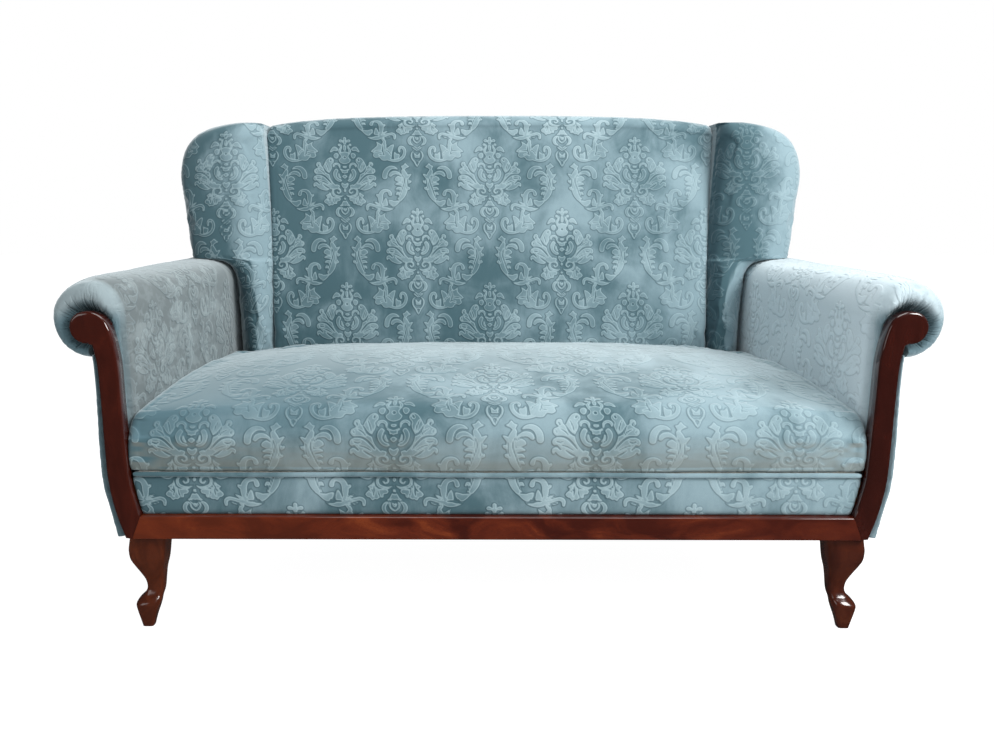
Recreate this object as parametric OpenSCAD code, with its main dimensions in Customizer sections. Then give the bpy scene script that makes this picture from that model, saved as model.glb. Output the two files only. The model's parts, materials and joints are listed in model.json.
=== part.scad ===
// Upholstered wing settee with scroll arms, a crowned tight seat and show wood in front.
// Millimetres. +X to the right, +Y to the rear, +Z up from the floor under the middle of the settee.

/* [Overall] */
// Width over the two arm rolls
sofa_w = 1580; // [1400:10:1900]
// Depth from the front of the facings to the rear of the top
sofa_d = 800; // [780:5:840]
// Height of the crowned back at its middle
back_h = 1006; // [956:10:1066]
// Lean of the outside back and the wings, in degrees
rear_rake = 9; // [7:0.5:10]

/* [Arms] */
// Height of the top of the arm rolls
arm_h = 658; // [626:2:696]
// Radius of the arm rolls
roll_r = 72; // [66:1:76]
// How much smaller the roll is at its gathered front end
roll_draw = 8; // [4:1:12]
// How far the face of the arm wall is in from the roll centre at the front
arm_in = 56; // [52:1:60]
// How far the arm walls splay inwards at the rear
arm_splay = 66; // [50:2:76]
// Thickness of the padding on the arms
arm_pad_t = 16; // [12:1:18]

/* [Seat] */
// Height of the seat at its front corners
seat_h = 408; // [388:2:426]
// Rise of the seat from its front edge to its rear
seat_rise = 38; // [20:1:46]
// Rise of the seat from its side to its middle
seat_crown = 30; // [10:1:40]
// Height of the fabric border under the piping
border_h = 72; // [64:1:80]
// Diameter of the piping
piping_d = 9; // [6:0.5:11]

/* [Back] */
// Depth of the back at its top, from above the rear line of the seat
back_d = 296; // [284:2:310]
// Lean of the face of the back cushion, in degrees
face_rake = 16; // [14:0.5:17]
// Fullness of the back cushion
back_full = 14; // [6:1:20]
// How much wider each half of the back is at its top
back_flare = 40; // [24:1:44]
// Radius of the rounded top edge
top_r = 40; // [30:1:46]

/* [Wings] */
// Width of the foot of a wing, between the back and the arm
wing_foot = 86; // [78:1:100]
// How far the widest part of a wing stands out from the roll centre
wing_out = 23; // [14:1:28]
// Depth of the rounded edges of a wing
wing_edge = 56; // [44:1:60]

/* [Show wood] */
// Height of the legs
leg_h = 184; // [156:2:206]
// Width of a front leg at its top
leg_w = 70; // [62:1:76]
// Height of the show rail
show_h = 43; // [36:1:50]
// Thickness of the show wood
show_t = 24; // [20:1:28]
// Radius of the rounded top edge of the show rail
show_edge = 6; // [3:0.5:8]
// Radius of the scroll heads
head_r = 28.5; // [26:0.5:30]

/* [Frame] */
// Height of the seat rails
rail_h = 98; // [80:1:100]
// Thickness of the seat rails
rail_t = 30; // [24:1:34]
// Depth of the back posts and the rear rail
post_d = 45; // [38:1:50]
// Width of the back posts
post_w = 50; // [40:1:60]
// Thickness of the wing boards
wing_board_t = 22; // [16:1:24]
// Thickness of the card and fabric panels
panel_t = 5; // [3:0.5:6]
// Thickness of the velvet covers
cover_t = 2; // [1.2:0.1:2.5]
// Diameter of the leg bolts
bolt_d = 8; // [6:0.5:10]
// Diameter of the spring wire
wire_d = 3.6; // [3:0.1:4.2]
// Number of seat springs
spring_n = 9; // [7:2:11]

/* [Hidden] */

// Clearance between pieces that touch
gap = 0.3;
$fn = 48;

front_y = -sofa_d / 2;
// Depth of the seat from the front plane to the back
seat_d = sofa_d - back_d;
half_w = sofa_w / 2;
// Centre of the arm rolls, and of the scroll heads a little lower
roll_x = half_w - roll_r;
roll_z = arm_h - roll_r;
head_z = roll_z - 14;
// Top of the seat frame, and the level under the piping
frame_top = leg_h + rail_h;
border_z0 = leg_h + show_h + gap;
border_z1 = border_z0 + border_h;
piping_z = border_z1 + piping_d / 2;
seat_z0 = border_z1 + piping_d + gap;
spring_top = frame_top + wire_d;
seat_back_y = front_y + seat_d;
seat_half = roll_x - arm_in;
// Half width of the back cushion where it meets the seat
back_half = seat_half - arm_splay - wing_foot;
arm_front_y = front_y + show_t + gap;
// Inner edge of the facings beside the piping and the seat front
facing_in = roll_x - 63;
// Inner face of the back posts
post_x = back_half + 25;
velvet = [0.44, 0.58, 0.62];
mahogany = [0.27, 0.08, 0.05];
beech = [0.78, 0.62, 0.42];
wadding = [0.93, 0.91, 0.85];

function rear_y(z) = sofa_d / 2 - (back_h - z) * tan(rear_rake);
// Rear and front planes of the back posts
function post_rear(z) = rear_y(z) - panel_t / cos(rear_rake) - gap;
function post_front(z) = post_rear(z) - post_d;
// Arm wall at a depth y, splayed inwards towards the rear
function wall_x(y) =
    roll_x - arm_in - arm_splay * min(1, max(0, (y - front_y) / seat_d));
function seam_x(z) =
    back_half + back_flare * max(0, z - seat_h) / (back_h - seat_h);
function spline_at(a, b, c, d, t) = 0.5 * (2 * b + (c - a) * t
    + (2 * a - 5 * b + 4 * c - d) * t * t + (3 * b - a - 3 * c + d) * t * t * t);
// Smooth curve through the points, with n steps between each pair
function spline(p, n) = let (m = len(p) - 1) concat(
    [for (i = [0 : m - 1], k = [0 : n - 1])
        spline_at(p[max(0, i - 1)], p[i], p[i + 1], p[min(m, i + 2)], k / n)],
    [p[m]]);
function arc(cx, cz, r, a0, a1, n) =
    [for (k = [0 : n]) let (a = a0 + (a1 - a0) * k / n) [cx + r * cos(a), cz + r * sin(a)]];
function reversed(p) = [for (i = [len(p) - 1 : -1 : 0]) p[i]];
function mirrored(p) = [for (q = p) [-q[0], q[1]]];

// Solid between an outer and an inner grid of points, both station by station
module shell(outer, inner) {
    n = len(outer);
    m = len(outer[0]);
    all_points = concat([for (s = outer, p = s) p], [for (s = inner, p = s) p]);
    function o(i, j) = i * m + j;
    function q(i, j) = n * m + i * m + j;
    function quad(a, b, c, d) = [[a, b, c], [a, c, d]];
    faces = concat(
        [for (i = [0 : n - 2], j = [0 : m - 2],
            f = quad(o(i, j), o(i, j + 1), o(i + 1, j + 1), o(i + 1, j))) f],
        [for (i = [0 : n - 2], j = [0 : m - 2],
            f = quad(q(i, j), q(i + 1, j), q(i + 1, j + 1), q(i, j + 1))) f],
        [for (i = [0 : n - 2],
            f = quad(o(i, 0), o(i + 1, 0), q(i + 1, 0), q(i, 0))) f],
        [for (i = [0 : n - 2],
            f = quad(o(i, m - 1), q(i, m - 1), q(i + 1, m - 1), o(i + 1, m - 1))) f],
        [for (j = [0 : m - 2],
            f = quad(o(0, j), q(0, j), q(0, j + 1), o(0, j + 1))) f],
        [for (j = [0 : m - 2],
            f = quad(o(n - 1, j), o(n - 1, j + 1), q(n - 1, j + 1), q(n - 1, j))) f]);
    polyhedron(all_points, faces);
}
module both(side) { if (side > 0) children(); else mirror([1, 0, 0]) children(); }
// A profile in X and Z, drawn out along Y from y0 to y1
module along_y(y0, y1) { translate([0, y1, 0]) rotate([90, 0, 0]) linear_extrude(y1 - y0) children(); }
// A profile in Y and Z, drawn out along X from x0 to x1
module along_x(x0, x1) { translate([x0, 0, 0]) rotate([90, 0, 90]) linear_extrude(x1 - x0) children(); }
// A profile in X and in height, laid on the raked plane that lies d in front of the outside back
module on_rake(d, t) {
    translate([0, rear_y(0) - d, 0]) rotate([90 - rear_rake, 0, 0]) linear_extrude(t)
        scale([1, 1 / cos(rear_rake)]) children();
}

// Outline of an arm facing: the sweep up its outer edge, the scroll head, the inner edge down
facing_outer = spline([
    [roll_x - 41, leg_h], [roll_x - 30, leg_h + 48], [roll_x - 22, leg_h + 72],
    [roll_x - 17, leg_h + 112], [roll_x - 15, leg_h + 150], [roll_x - 15, roll_z - 130],
    [roll_x - 14, roll_z - 80], [roll_x - 10, head_z - head_r - 3]], 4);
facing_inner = spline([
    [roll_x - 4, head_z + head_r + 0.5], [roll_x - 28, roll_z + 9], [roll_x - 42, roll_z - 9],
    [roll_x - 51, roll_z - 40], [roll_x - 57, roll_z - 80], [roll_x - 58, roll_z - 130],
    [roll_x - 59, leg_h + 222], [roll_x - 61, leg_h + 149], [roll_x - 63, leg_h + 110],
    [roll_x - 69, leg_h + 72], [roll_x - 73, leg_h + show_h]], 4);
// Outside arm, from its top under the roll to the bottom of the frame
side_line = spline([
    [roll_x - 5, roll_z - roll_r - gap], [roll_x - 4, roll_z - 102], [roll_x - 4, roll_z - 150],
    [roll_x - 2, leg_h + 160], [roll_x - 4, leg_h + 96], [roll_x - 11, leg_h + 60],
    [roll_x - 23, leg_h]], 4);
// Outer edge of a wing, from the arm up to its top
wing_line = spline([
    [roll_x + 4, arm_h + 2], [roll_x + wing_out - 9, arm_h + 68],
    [roll_x + wing_out - 2, back_h - 210], [roll_x + wing_out, back_h - 150],
    [roll_x + wing_out - 7, back_h - 106], [roll_x - 2, back_h - 72],
    [roll_x - 37, back_h - 47], [roll_x - 88, back_h - 32],
    [back_half + back_flare + 4, back_h - 27]], 4);
wing_by_height = [for (p = wing_line) [p[1], p[0]]];

module show_rail() {
    color(mahogany) intersection() {
        along_y(front_y, front_y + show_t) polygon([
            [-roll_x + 41, leg_h], [roll_x - 41, leg_h],
            [roll_x - 73, leg_h + show_h], [-roll_x + 73, leg_h + show_h]]);
        along_x(-half_w, half_w) polygon(concat(
            [[front_y, leg_h], [front_y + show_t, leg_h], [front_y + show_t, leg_h + show_h]],
            arc(front_y + show_edge, leg_h + show_h - show_edge, show_edge, 90, 180, 6)));
    }
}
module arm_facing(side) {
    color(mahogany) both(side) along_y(front_y, front_y + show_t - gap)
        translate([gap, gap]) polygon(concat(
            facing_outer, arc(roll_x, head_z, head_r, -95, 90, 24), facing_inner));
}

// Front leg: [share of the leg's height, how far the outer face stands out, the inner face stands in]
leg_rows = [
    [0, -12, 31], [0.1, -9, 25], [0.2, -5.5, 19], [0.26, -4, 13], [0.3, -5, 11.5],
    [0.345, -12.5, 11], [0.385, -18.5, 11.5], [0.43, -20, 11], [0.5, -18.5, 9.5],
    [0.6, -11.5, 5], [0.7, -4, -1], [0.8, 1.5, -6], [0.87, 2, -7.5], [1, -3, -10]];
leg_outer = [for (r = leg_rows) [r[1], r[0] * leg_h]];
leg_inner = [for (r = leg_rows) [r[2] - leg_w + 10, r[0] * leg_h]];
leg_side = concat(spline(leg_outer, 2), reversed(spline(leg_inner, 2)));
leg_out_x = roll_x - 42;
leg_front_y = front_y + 12;
rear_leg_w = 60;
rear_foot_w = 30;
rear_kick = 48;
rear_leg_y = post_rear(leg_h) - 6;
bolt_in = 44;
bolt_back = 54;
front_bolt = [leg_out_x - bolt_in, leg_front_y + bolt_back];
rear_bolt = [leg_out_x - bolt_in, post_front(leg_h) - 12];
bolt_up = 56;
bolt_down = 30;
module bolt_hole(at) {
    translate([at[0], at[1], leg_h - bolt_down - gap])
        cylinder(d = bolt_d + 2 * gap, h = bolt_up + bolt_down + 1);
}
module front_leg(side) {
    color(mahogany) both(side) difference() {
        intersection() {
            along_y(leg_front_y - 20, leg_front_y + leg_w + 20) translate([leg_out_x, 0])
                polygon(leg_side);
            along_x(leg_out_x - leg_w - 20, leg_out_x + 20) translate([leg_front_y, 0])
                mirror([1, 0]) polygon(leg_side);
        }
        bolt_hole(front_bolt);
    }
}
module rear_leg(side) {
    color(mahogany) both(side) difference() {
        intersection() {
            along_y(rear_leg_y - 200, rear_leg_y + 200) polygon([
                [leg_out_x - rear_leg_w, leg_h], [leg_out_x, leg_h],
                [leg_out_x, 0], [leg_out_x - rear_foot_w, 0]]);
            along_x(leg_out_x - rear_leg_w, leg_out_x) polygon([
                [rear_leg_y - rear_leg_w, leg_h], [rear_leg_y, leg_h],
                [rear_leg_y + rear_kick, 0], [rear_leg_y + rear_kick - rear_foot_w, 0]]);
        }
        bolt_hole(rear_bolt);
    }
}
module leg_bolts() {
    color("silver") for (s = [-1, 1], at = [front_bolt, rear_bolt]) both(s)
        translate([at[0], at[1], leg_h - bolt_down]) cylinder(d = bolt_d, h = bolt_up + bolt_down);
}

front_rail_y = front_y + show_t + gap;
rail_x0 = roll_x - 27 - panel_t - rail_t;
module front_seat_rail() {
    color(beech) along_y(front_rail_y, front_rail_y + rail_t)
        translate([-rail_x0 - rail_t, leg_h]) square([2 * (rail_x0 + rail_t), rail_h]);
}
// Raked section that the rear rail, the back posts and the crest rail share
function raked_section(z0, z1) = [
    [post_front(z0), z0], [post_rear(z0), z0], [post_rear(z1), z1], [post_front(z1), z1]];
module rear_seat_rail() {
    color(beech) along_x(-rail_x0 - rail_t, rail_x0 + rail_t) polygon(raked_section(leg_h, frame_top));
}
function between_rails(y0, z0, z1) = [
    [y0, z0], [post_front(z0) - gap, z0], [post_front(z1) - gap, z1], [y0, z1]];
rail_back_y = front_rail_y + rail_t + gap;
module side_rail(side) {
    color(beech) both(side) along_x(rail_x0, rail_x0 + rail_t)
        polygon(between_rails(rail_back_y, leg_h, frame_top));
}
cross_x = 220;
module cross_rails() {
    color(beech) for (s = [-1, 1]) along_x(s * cross_x - rail_t / 2, s * cross_x + rail_t / 2)
        polygon(between_rails(rail_back_y, leg_h, frame_top - 30));
}
block_w = 84;
block_h = 60;
module corner_block(y_wall, turn) {
    difference() {
        translate([0, 0, leg_h]) linear_extrude(block_h) polygon([
            [rail_x0 - gap, y_wall], [rail_x0 - block_w, y_wall],
            [rail_x0 - gap, y_wall + turn * block_w]]);
        bolt_hole(turn > 0 ? front_bolt : rear_bolt);
    }
}
module corner_blocks() {
    color(beech) for (s = [-1, 1]) both(s) {
        corner_block(rail_back_y, 1);
        corner_block(post_front(leg_h) - gap, -1);
    }
}

// Zigzag springs from the front rail to the rear rail
spring_amp = 24;
spring_loops = 9;
spring_span = 2 * (post_x - spring_amp - 8);
spring_y0 = front_rail_y + 8;
spring_y1 = post_front(frame_top) + 12;
function wave(side) = [for (k = [0 : 6 * spring_loops]) let (t = k / (6 * spring_loops))
    [spring_amp * sin(360 * spring_loops * t) + side * wire_d / 2,
     spring_y0 + (spring_y1 - spring_y0) * t]];
function spring_x(i) = spring_span * (i / (spring_n - 1) - 0.5);
module seat_springs() {
    color("dimgray") for (i = [0 : spring_n - 1]) translate([spring_x(i), 0, frame_top])
        linear_extrude(wire_d) polygon(concat(wave(1), reversed(wave(-1))));
}
clip_l = 24;
module spring_clips() {
    color("gray") for (i = [0 : spring_n - 1], y = [spring_y0, spring_y1 - 12])
        translate([spring_x(i) - clip_l / 2, y - 2, frame_top + wire_d]) cube([clip_l, 14, 1.5]);
}
cloth_t = 1.5;
cloth_z = spring_top + 1.5 + gap;
base_z = cloth_z + cloth_t + gap;
// Flat layer under the seat foam, between the splayed arm walls
module seat_layer(z, t, inset) {
    y0 = front_rail_y;
    y1 = seat_back_y - inset;
    w0 = wall_x(y0) - 8;
    w1 = wall_x(y1) - 8;
    translate([0, 0, z]) linear_extrude(t) polygon([[-w0, y0], [w0, y0], [w1, y1], [-w1, y1]]);
}
module spring_cloth() { color("tan") seat_layer(cloth_z, cloth_t, 0); }
module seat_base_pad() { color(wadding) seat_layer(base_z, seat_z0 - base_z - gap, 6); }

// Seat surface: path from its front bottom edge round to its rear, and stations from side to side
seat_steps = 14;
seat_edge_r = 42;
border_y = front_y + 12;
function seat_side(u) = 1 - pow(abs(u), 3.2);
function seat_top(u, s) = seat_h + seat_rise * sin(125 * s)
    + seat_crown * seat_side(u) * (0.5 + 0.5 * sin(90 * s));
function seat_path(u, d) = let (top = seat_top(u, 0.1), y0 = front_y + 6) concat(
    [[border_y + d, seat_z0], [y0 + d, seat_z0 + 24],
     [y0 + 1 + d, (seat_z0 + top) / 2], [y0 + 7 + d, top - 44 - d]],
    [for (a = [160, 130, 100])
        [y0 + 10 + seat_edge_r + (seat_edge_r - d) * cos(a), top - 44 + (44 - d) * sin(a)]],
    [for (s = [0.2, 0.33, 0.46, 0.6, 0.74, 0.88, 1])
        [front_y + seat_d * s - (s == 1 ? d : 0), seat_top(u, s) - d]]);
function seat_base(u, d) = let (p = seat_path(u, d), m = len(p) - 1) [for (j = [0 : m])
    [front_rail_y + (p[m][0] - front_rail_y) * j / m, seat_z0]];
// The seat passes between the facings and then fills the space between the arm walls
function seat_x(u, y) = sign(u) * pow(abs(u), 0.8)
    * min(wall_x(y) - gap, y < arm_front_y ? facing_in - gap : half_w);
function seat_grid(d, base) = [for (k = [0 : seat_steps])
    let (u = 2 * k / seat_steps - 1, w = 1 - d / seat_half,
         p = base ? seat_base(u, d) : seat_path(u, d))
    [for (j = [0 : len(p) - 1]) [seat_x(u, p[j][0]) * w, p[j][0], p[j][1]]]];
module seat_cover() { color(velvet) shell(seat_grid(0, false), seat_grid(cover_t, false)); }
module seat_foam() { color(wadding) shell(seat_grid(cover_t + gap, false), seat_grid(cover_t + gap, true)); }
module seat_piping() {
    color(velvet) translate([-facing_in, border_y - 1, piping_z]) rotate([0, 90, 0])
        cylinder(d = piping_d - gap, h = 2 * facing_in);
}
module border(y0, y1, margin) {
    along_y(y0, y1) polygon([
        [-roll_x + 73 + margin, border_z0], [roll_x - 73 - margin, border_z0],
        [roll_x - 64 - margin, border_z1 - 10], [roll_x - 63 - margin, border_z1],
        [-roll_x + 63 + margin, border_z1], [-roll_x + 64 + margin, border_z1 - 10]]);
}
module border_pad() { color(wadding) border(border_y + cover_t + gap, front_rail_y - gap, 3); }
module border_cover() { color(velvet) border(border_y, border_y + cover_t, 1); }

// Arm: a path up the inner wall, over the roll and under it to the outside arm
wall_heights = [0.0, 0.45, 0.85];
roll_angles = [180, 160, 135, 110, 90, 65, 40, 20, 0, -30, -60, -90];
wall_z0 = frame_top + 2;
// One point of the roll, boxier on its inner side where the arm widens towards the rear
function roll_point(a, y, r) = let (b = roll_x - wall_x(y) - (roll_r - r),
    n = 2 + 0.8 * min(1, max(0, (y - front_y) / seat_d)))
    a > 90 ? [roll_x - b * pow(-cos(a), 2 / n), roll_z + r * pow(sin(a), 2 / n)]
           : [roll_x + r * cos(a), roll_z + r * sin(a)];
function arm_path(y, r) = concat(
    [for (h = wall_heights) [wall_x(y) + roll_r - r, wall_z0 + (roll_z - wall_z0) * h]],
    [for (a = roll_angles) roll_point(a, y, r)]);
// The front end is drawn in to the scroll head, behind the facing on the wall side
function end_path(r, wall) = concat(
    [for (h = wall_heights) [wall, wall_z0 + (roll_z - wall_z0) * h]],
    [for (a = roll_angles) let (z = head_z + (roll_z - head_z) * (r - head_r) / (roll_r - head_r),
        q = a > 90 ? r + (roll_x - wall - r) * (a - 90) / 90 : r)
        [roll_x + q * cos(a), z + q * sin(a)]]);
function lift(path, y, bulge) = let (m = len(wall_heights)) [for (j = [0 : len(path) - 1])
    [path[j][0], y - (j > m + 1 ? bulge : 0), path[j][1]]];
draw_end = 52;
draw_len = 68;
arm_stations = [draw_end, draw_end + draw_len, 220, 350, seat_d];
// How much the roll is still drawn in at a depth behind the front plane
function draw(depth) = 2 * max(0, min(1, (draw_end + draw_len - depth) / draw_len));
function arm_end(z) = rear_y(z) - panel_t / cos(rear_rake) - 2 * gap;
function arm_grid(d, b) = concat(
    [lift(end_path(head_r + 3 + d, roll_x - 46 + b), arm_front_y + b, 0),
     lift(end_path(head_r + 20 - d, roll_x - 52 + b), arm_front_y + b + 2, 12 - d / 2),
     lift(end_path(roll_r - roll_draw - 3 - d, wall_x(front_y) + 2 + b), arm_front_y + b + 5, 8 - d / 2),
     lift(end_path(roll_r - roll_draw + 2 - d, wall_x(front_y) + b), arm_front_y + b + 14, 0)],
    [for (y = arm_stations) lift(arm_path(front_y + y, roll_r - d - draw(y)), front_y + y, 0)],
    [[for (p = arm_path(front_y + seat_d, roll_r - d)) [p[0], arm_end(p[1]), p[1]]]]);
module arm_cover(side) {
    color(velvet) both(side) shell(reversed(arm_grid(0, 0)), reversed(arm_grid(cover_t, cover_t)));
}
pad_out = cover_t + gap;
pad_in = pad_out + arm_pad_t;
// The padding starts behind the front post
function arm_pad_grid(d) = concat(
    [for (y = concat([post_y1 + gap - front_y], [for (i = [1 : len(arm_stations) - 1]) arm_stations[i]]))
        lift(arm_path(front_y + y, roll_r - d - draw(y)), front_y + y, 0)],
    [[for (p = arm_path(front_y + seat_d, roll_r - d)) [p[0], arm_end(p[1]), p[1]]]]);
module arm_padding(side) {
    color(wadding) both(side) shell(reversed(arm_pad_grid(pad_out)), reversed(arm_pad_grid(pad_in)));
}

// The timber stays inside the flats of the faceted padding
core_gap = 7;
core_r = (roll_r - pad_in) * cos(15) - core_gap;
post_x0 = roll_x - core_r + core_gap / 2;
post_y0 = arm_front_y + cover_t + 6 + gap;
post_y1 = post_y0 + 30;
// Depth of the plank under the roll timber
stem_h = 90;
// Lower part of an upright between the inner wall and the outside arm
function upright(x0, top) = concat([[x0, frame_top + gap]], [[x0, top]],
    [for (p = side_line) if (p[1] > frame_top + 4 && p[1] < roll_z - roll_r - 4)
        [p[0] - panel_t - gap, p[1]]],
    [[roll_x - 4 - panel_t - 2 * gap, frame_top + gap]]);
module arm_post(side) {
    color(beech) both(side) {
        along_y(post_y0, post_y1) polygon(upright(post_x0, roll_z - 20));
        along_y(arm_front_y, post_y0) polygon(upright(post_x0 + 10, head_z - 20));
    }
}
// Timber under the roll, with a round top, from the front post to the rear post
module arm_roll_rail(side) {
    color(beech) both(side) intersection() {
        along_y(post_y1 + gap, rear_y(roll_z)) difference() {
            union() {
                translate([roll_x, roll_z]) circle(r = core_r);
                translate([post_x0, roll_z - stem_h]) square([30, stem_h]);
            }
            translate([roll_x, roll_z - core_r - 10]) square([core_r, 24]);
        }
        along_x(0, half_w) polygon([
            [front_y, 0], [post_front(0), 0], [post_front(back_h), back_h], [front_y, back_h]]);
    }
}
module arm_rear_post(side) {
    color(beech) both(side) intersection() {
        along_y(0, sofa_d) polygon([
            [post_x0, frame_top + gap], [post_x0, roll_z], [post_x0 + 30, roll_z],
            [post_x0 + 30, frame_top + gap]]);
        along_x(0, half_w) polygon([
            [post_front(0) + gap, 0], [post_rear(0), 0], [post_rear(back_h), back_h],
            [post_front(back_h) + gap, back_h]]);
    }
}
board_t = 6;
// Thin inner board that carries the padding of the arm wall
module arm_board(side) {
    y0 = post_y1 + gap;
    y1 = front_y + seat_d;
    off = pad_in + 2 * gap;
    x0 = wall_x(y0) + off + draw(y0 - front_y);
    x1 = wall_x(y1) + off;
    color(beech) both(side) translate([0, 0, wall_z0]) linear_extrude(roll_z - stem_h - gap - wall_z0) polygon([
        [x0, y0], [x0 + board_t, y0], [x1 + board_t, y1], [x1 + board_t, post_front(0) + 80],
        [x1, post_front(0) + 80], [x1, y1]]);
}
module outside_arm(side) {
    color(velvet) both(side) intersection() {
        along_y(front_y + 12, sofa_d / 2) polygon(concat(
            side_line, reversed([for (p = side_line) [p[0] - panel_t, p[1]]])));
        along_x(0, half_w) polygon([
            [front_y, 0], [arm_end(0), 0], [arm_end(back_h), back_h], [front_y, back_h]]);
    }
}

crest_drop = 66;
crest_w = 40;
crest_z1 = back_h - crest_drop;
crest_z0 = crest_z1 - crest_w;
module back_post(side) {
    color(beech) both(side) along_x(post_x, post_x + post_w)
        polygon(raked_section(frame_top + gap, crest_z0 - gap));
}
module crest_rail() {
    color(beech) along_x(-post_x - post_w, post_x + post_w) polygon(raked_section(crest_z0, crest_z1));
}
lower_rail_up = 70;
lower_rail_w = 50;
lower_rail_z = frame_top + lower_rail_up;
module lower_back_rail() {
    color(beech) along_x(-post_x + gap, post_x - gap)
        polygon(raked_section(lower_rail_z, lower_rail_z + lower_rail_w));
}
strap_w = 50;
strap_t = 2;
strap_d = panel_t / cos(rear_rake) + post_d + 2 * gap;
// How far forward the next layer lies on the raked plane, over a layer of thickness t
function layer_over(d, t) = d + (t + gap) / cos(rear_rake);
strap_step = 150;
module back_webbing() {
    color("tan") {
        for (z = [lower_rail_z + 100 : strap_step : crest_z0 - 60])
            on_rake(strap_d, strap_t) translate([-post_x - 20, z]) square([2 * post_x + 40, strap_w]);
        for (x = [-3 * strap_step : strap_step : 3 * strap_step])
            on_rake(layer_over(strap_d, strap_t), strap_t)
                translate([x - strap_w / 2, lower_rail_z + 10])
                square([strap_w, crest_z1 - lower_rail_z - 10]);
    }
}

// Back: a path up the face, round the crowned top and back to the outside panel
back_steps = 14;
back_z0 = seat_h + 8;
function crown_top(u) = back_h - 6 * u * u - 20 * pow(abs(u), 10);
function face_y(z) = seat_back_y + 2 + max(0, z - seat_h - 30) * tan(face_rake);
function back_path(u, d) = let (top = crown_top(u), z1 = top - top_r,
    edge = 14 * pow(abs(u), 12)) concat(
    [for (s = [0 : 0.125 : 1]) let (z = back_z0 + (z1 - back_z0) * s)
        [face_y(z) - back_full * sin(180 * s) * (1 - 0.6 * pow(abs(u), 6)) + edge + d, z]],
    [for (a = [150, 120, 90])
        [face_y(z1) + top_r + edge + (top_r - d) * cos(a), z1 + (top_r - d) * sin(a)]],
    [[post_rear(top) - gap, top - d]]);
back_core_d = layer_over(layer_over(strap_d, strap_t), strap_t);
function core_y(z) = rear_y(z) - back_core_d;
function back_core(u, d) = let (p = back_path(u, d), c = crown_top(u) - top_r + 4) [for (q = p)
    [q[1] < c ? core_y(q[1]) : max(core_y(c), min(q[0] + 3, post_rear(c))), min(q[1], c)]];
function back_x(u, z, d) = u * (seam_x(z) - gap - d);
function back_grid(d, core) = [for (k = [0 : back_steps])
    let (v = 2 * k / back_steps - 1, u = sign(v) * pow(abs(v), 0.75),
         outer = back_path(u, d), p = core ? back_core(u, d) : outer)
    [for (j = [0 : len(p) - 1]) [back_x(u, outer[j][1], d), p[j][0], p[j][1]]]];
module back_cover() { color(velvet) shell(back_grid(0, false), back_grid(cover_t, false)); }
module back_foam() {
    color(wadding) shell(back_grid(cover_t + gap, false), back_grid(cover_t + gap, true));
}

// Wing: a path across its face at each height, narrow behind the arm and wide above it
wing_low = [0, 0.35, 0.7, 1];
wing_high = [0, 0.12, 0.28, 0.45, 0.6, 0.74, 0.86, 0.95];
wing_gap = 2;
wing_z0 = seat_h + 14;
wing_arm_z = arm_h - 4;
wing_top = back_h - 28;
function wing_outer(z) = z < arm_h ? wall_x(front_y + seat_d) - wing_gap : lookup(z, wing_by_height);
function wing_face(z) = seat_back_y + max(1, (z - seat_h - 50) * tan(rear_rake) - 7);
function wing_round(z) = let (t = max(0, (z - wing_top + top_r) / top_r)) top_r * (1 - sqrt(1 - min(1, t * t)));
wing_n = 12;
// Power of the curve across a wing: 2 is an ellipse, more is flatter in the middle
wing_crown = 2.3;
function wing_path(z, d) = let (x0 = seam_x(z) + gap + d,
    x1 = wing_outer(z) - d * (1 + 3 * wing_round(z) / top_r)) [for (j = [0 : wing_n])
    let (s = 0.5 - 0.5 * cos(180 * j / wing_n),
         edge = pow(1 - pow(abs(2 * s - 1), wing_crown), 1 / wing_crown))
    [x0 + (x1 - x0) * s,
     wing_face(z) + wing_round(z) + wing_edge * min(1, (x1 - x0) / 90) * (1 - edge) + d]];
wing_stations = concat(
    [for (t = wing_low) wing_z0 + (wing_arm_z - wing_z0) * t],
    [for (t = wing_high) arm_h + 4 + (wing_top - arm_h - 4) * t]);
function wing_core_y(z) = rear_y(z) - layer_over(strap_d, wing_board_t);
function wing_grid(d, core) = [for (z = wing_stations) let (p = wing_path(z, d))
    [for (q = p) core ? [q[0] - 0.03 * (q[0] - seam_x(z)), max(wing_core_y(z), q[1] + 1), z]
        : [q[0], q[1], z]]];
module wing_cover(side) {
    color(velvet) both(side) shell(reversed(wing_grid(0, false)), reversed(wing_grid(cover_t, false)));
}
module wing_padding(side) {
    color(wadding) both(side)
        shell(reversed(wing_grid(pad_out, false)), reversed(wing_grid(pad_out, true)));
}
board_inset = 26;
module wing_board(side) {
    x0 = post_x + post_w - 15;
    color(beech) both(side) on_rake(strap_d, wing_board_t) polygon(concat(
        [[x0, frame_top + 20], [wing_outer(0) - 20, frame_top + 20], [wing_outer(0) - 20, arm_h + 14]],
        [for (p = wing_line) if (p[1] > arm_h + 14 && p[1] < back_h - 60)
            [p[0] - board_inset, min(p[1], back_h - 75)]],
        [[x0, back_h - 75]]));
}
// Card and fabric panel from the wing's rounded edge back to the outside back
function side_grid(d) = [for (k = [0 : 2 : len(wing_line) - 1]) let (p = wing_line[k],
    q = wing_path(p[1], 0), tilt = [cos(max(0, 5 * (k - 16))), sin(max(0, 5 * (k - 16)))],
    y0 = q[wing_n][1] + 1.5)
    [for (y = [y0, (y0 + arm_end(p[1])) / 2, arm_end(p[1])])
        [p[0] - d * tilt[0], y, p[1] - d * tilt[1]]]];
module outside_wing(side) {
    color(velvet) both(side) shell(reversed(side_grid(0)), reversed(side_grid(cover_t)));
}

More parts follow.
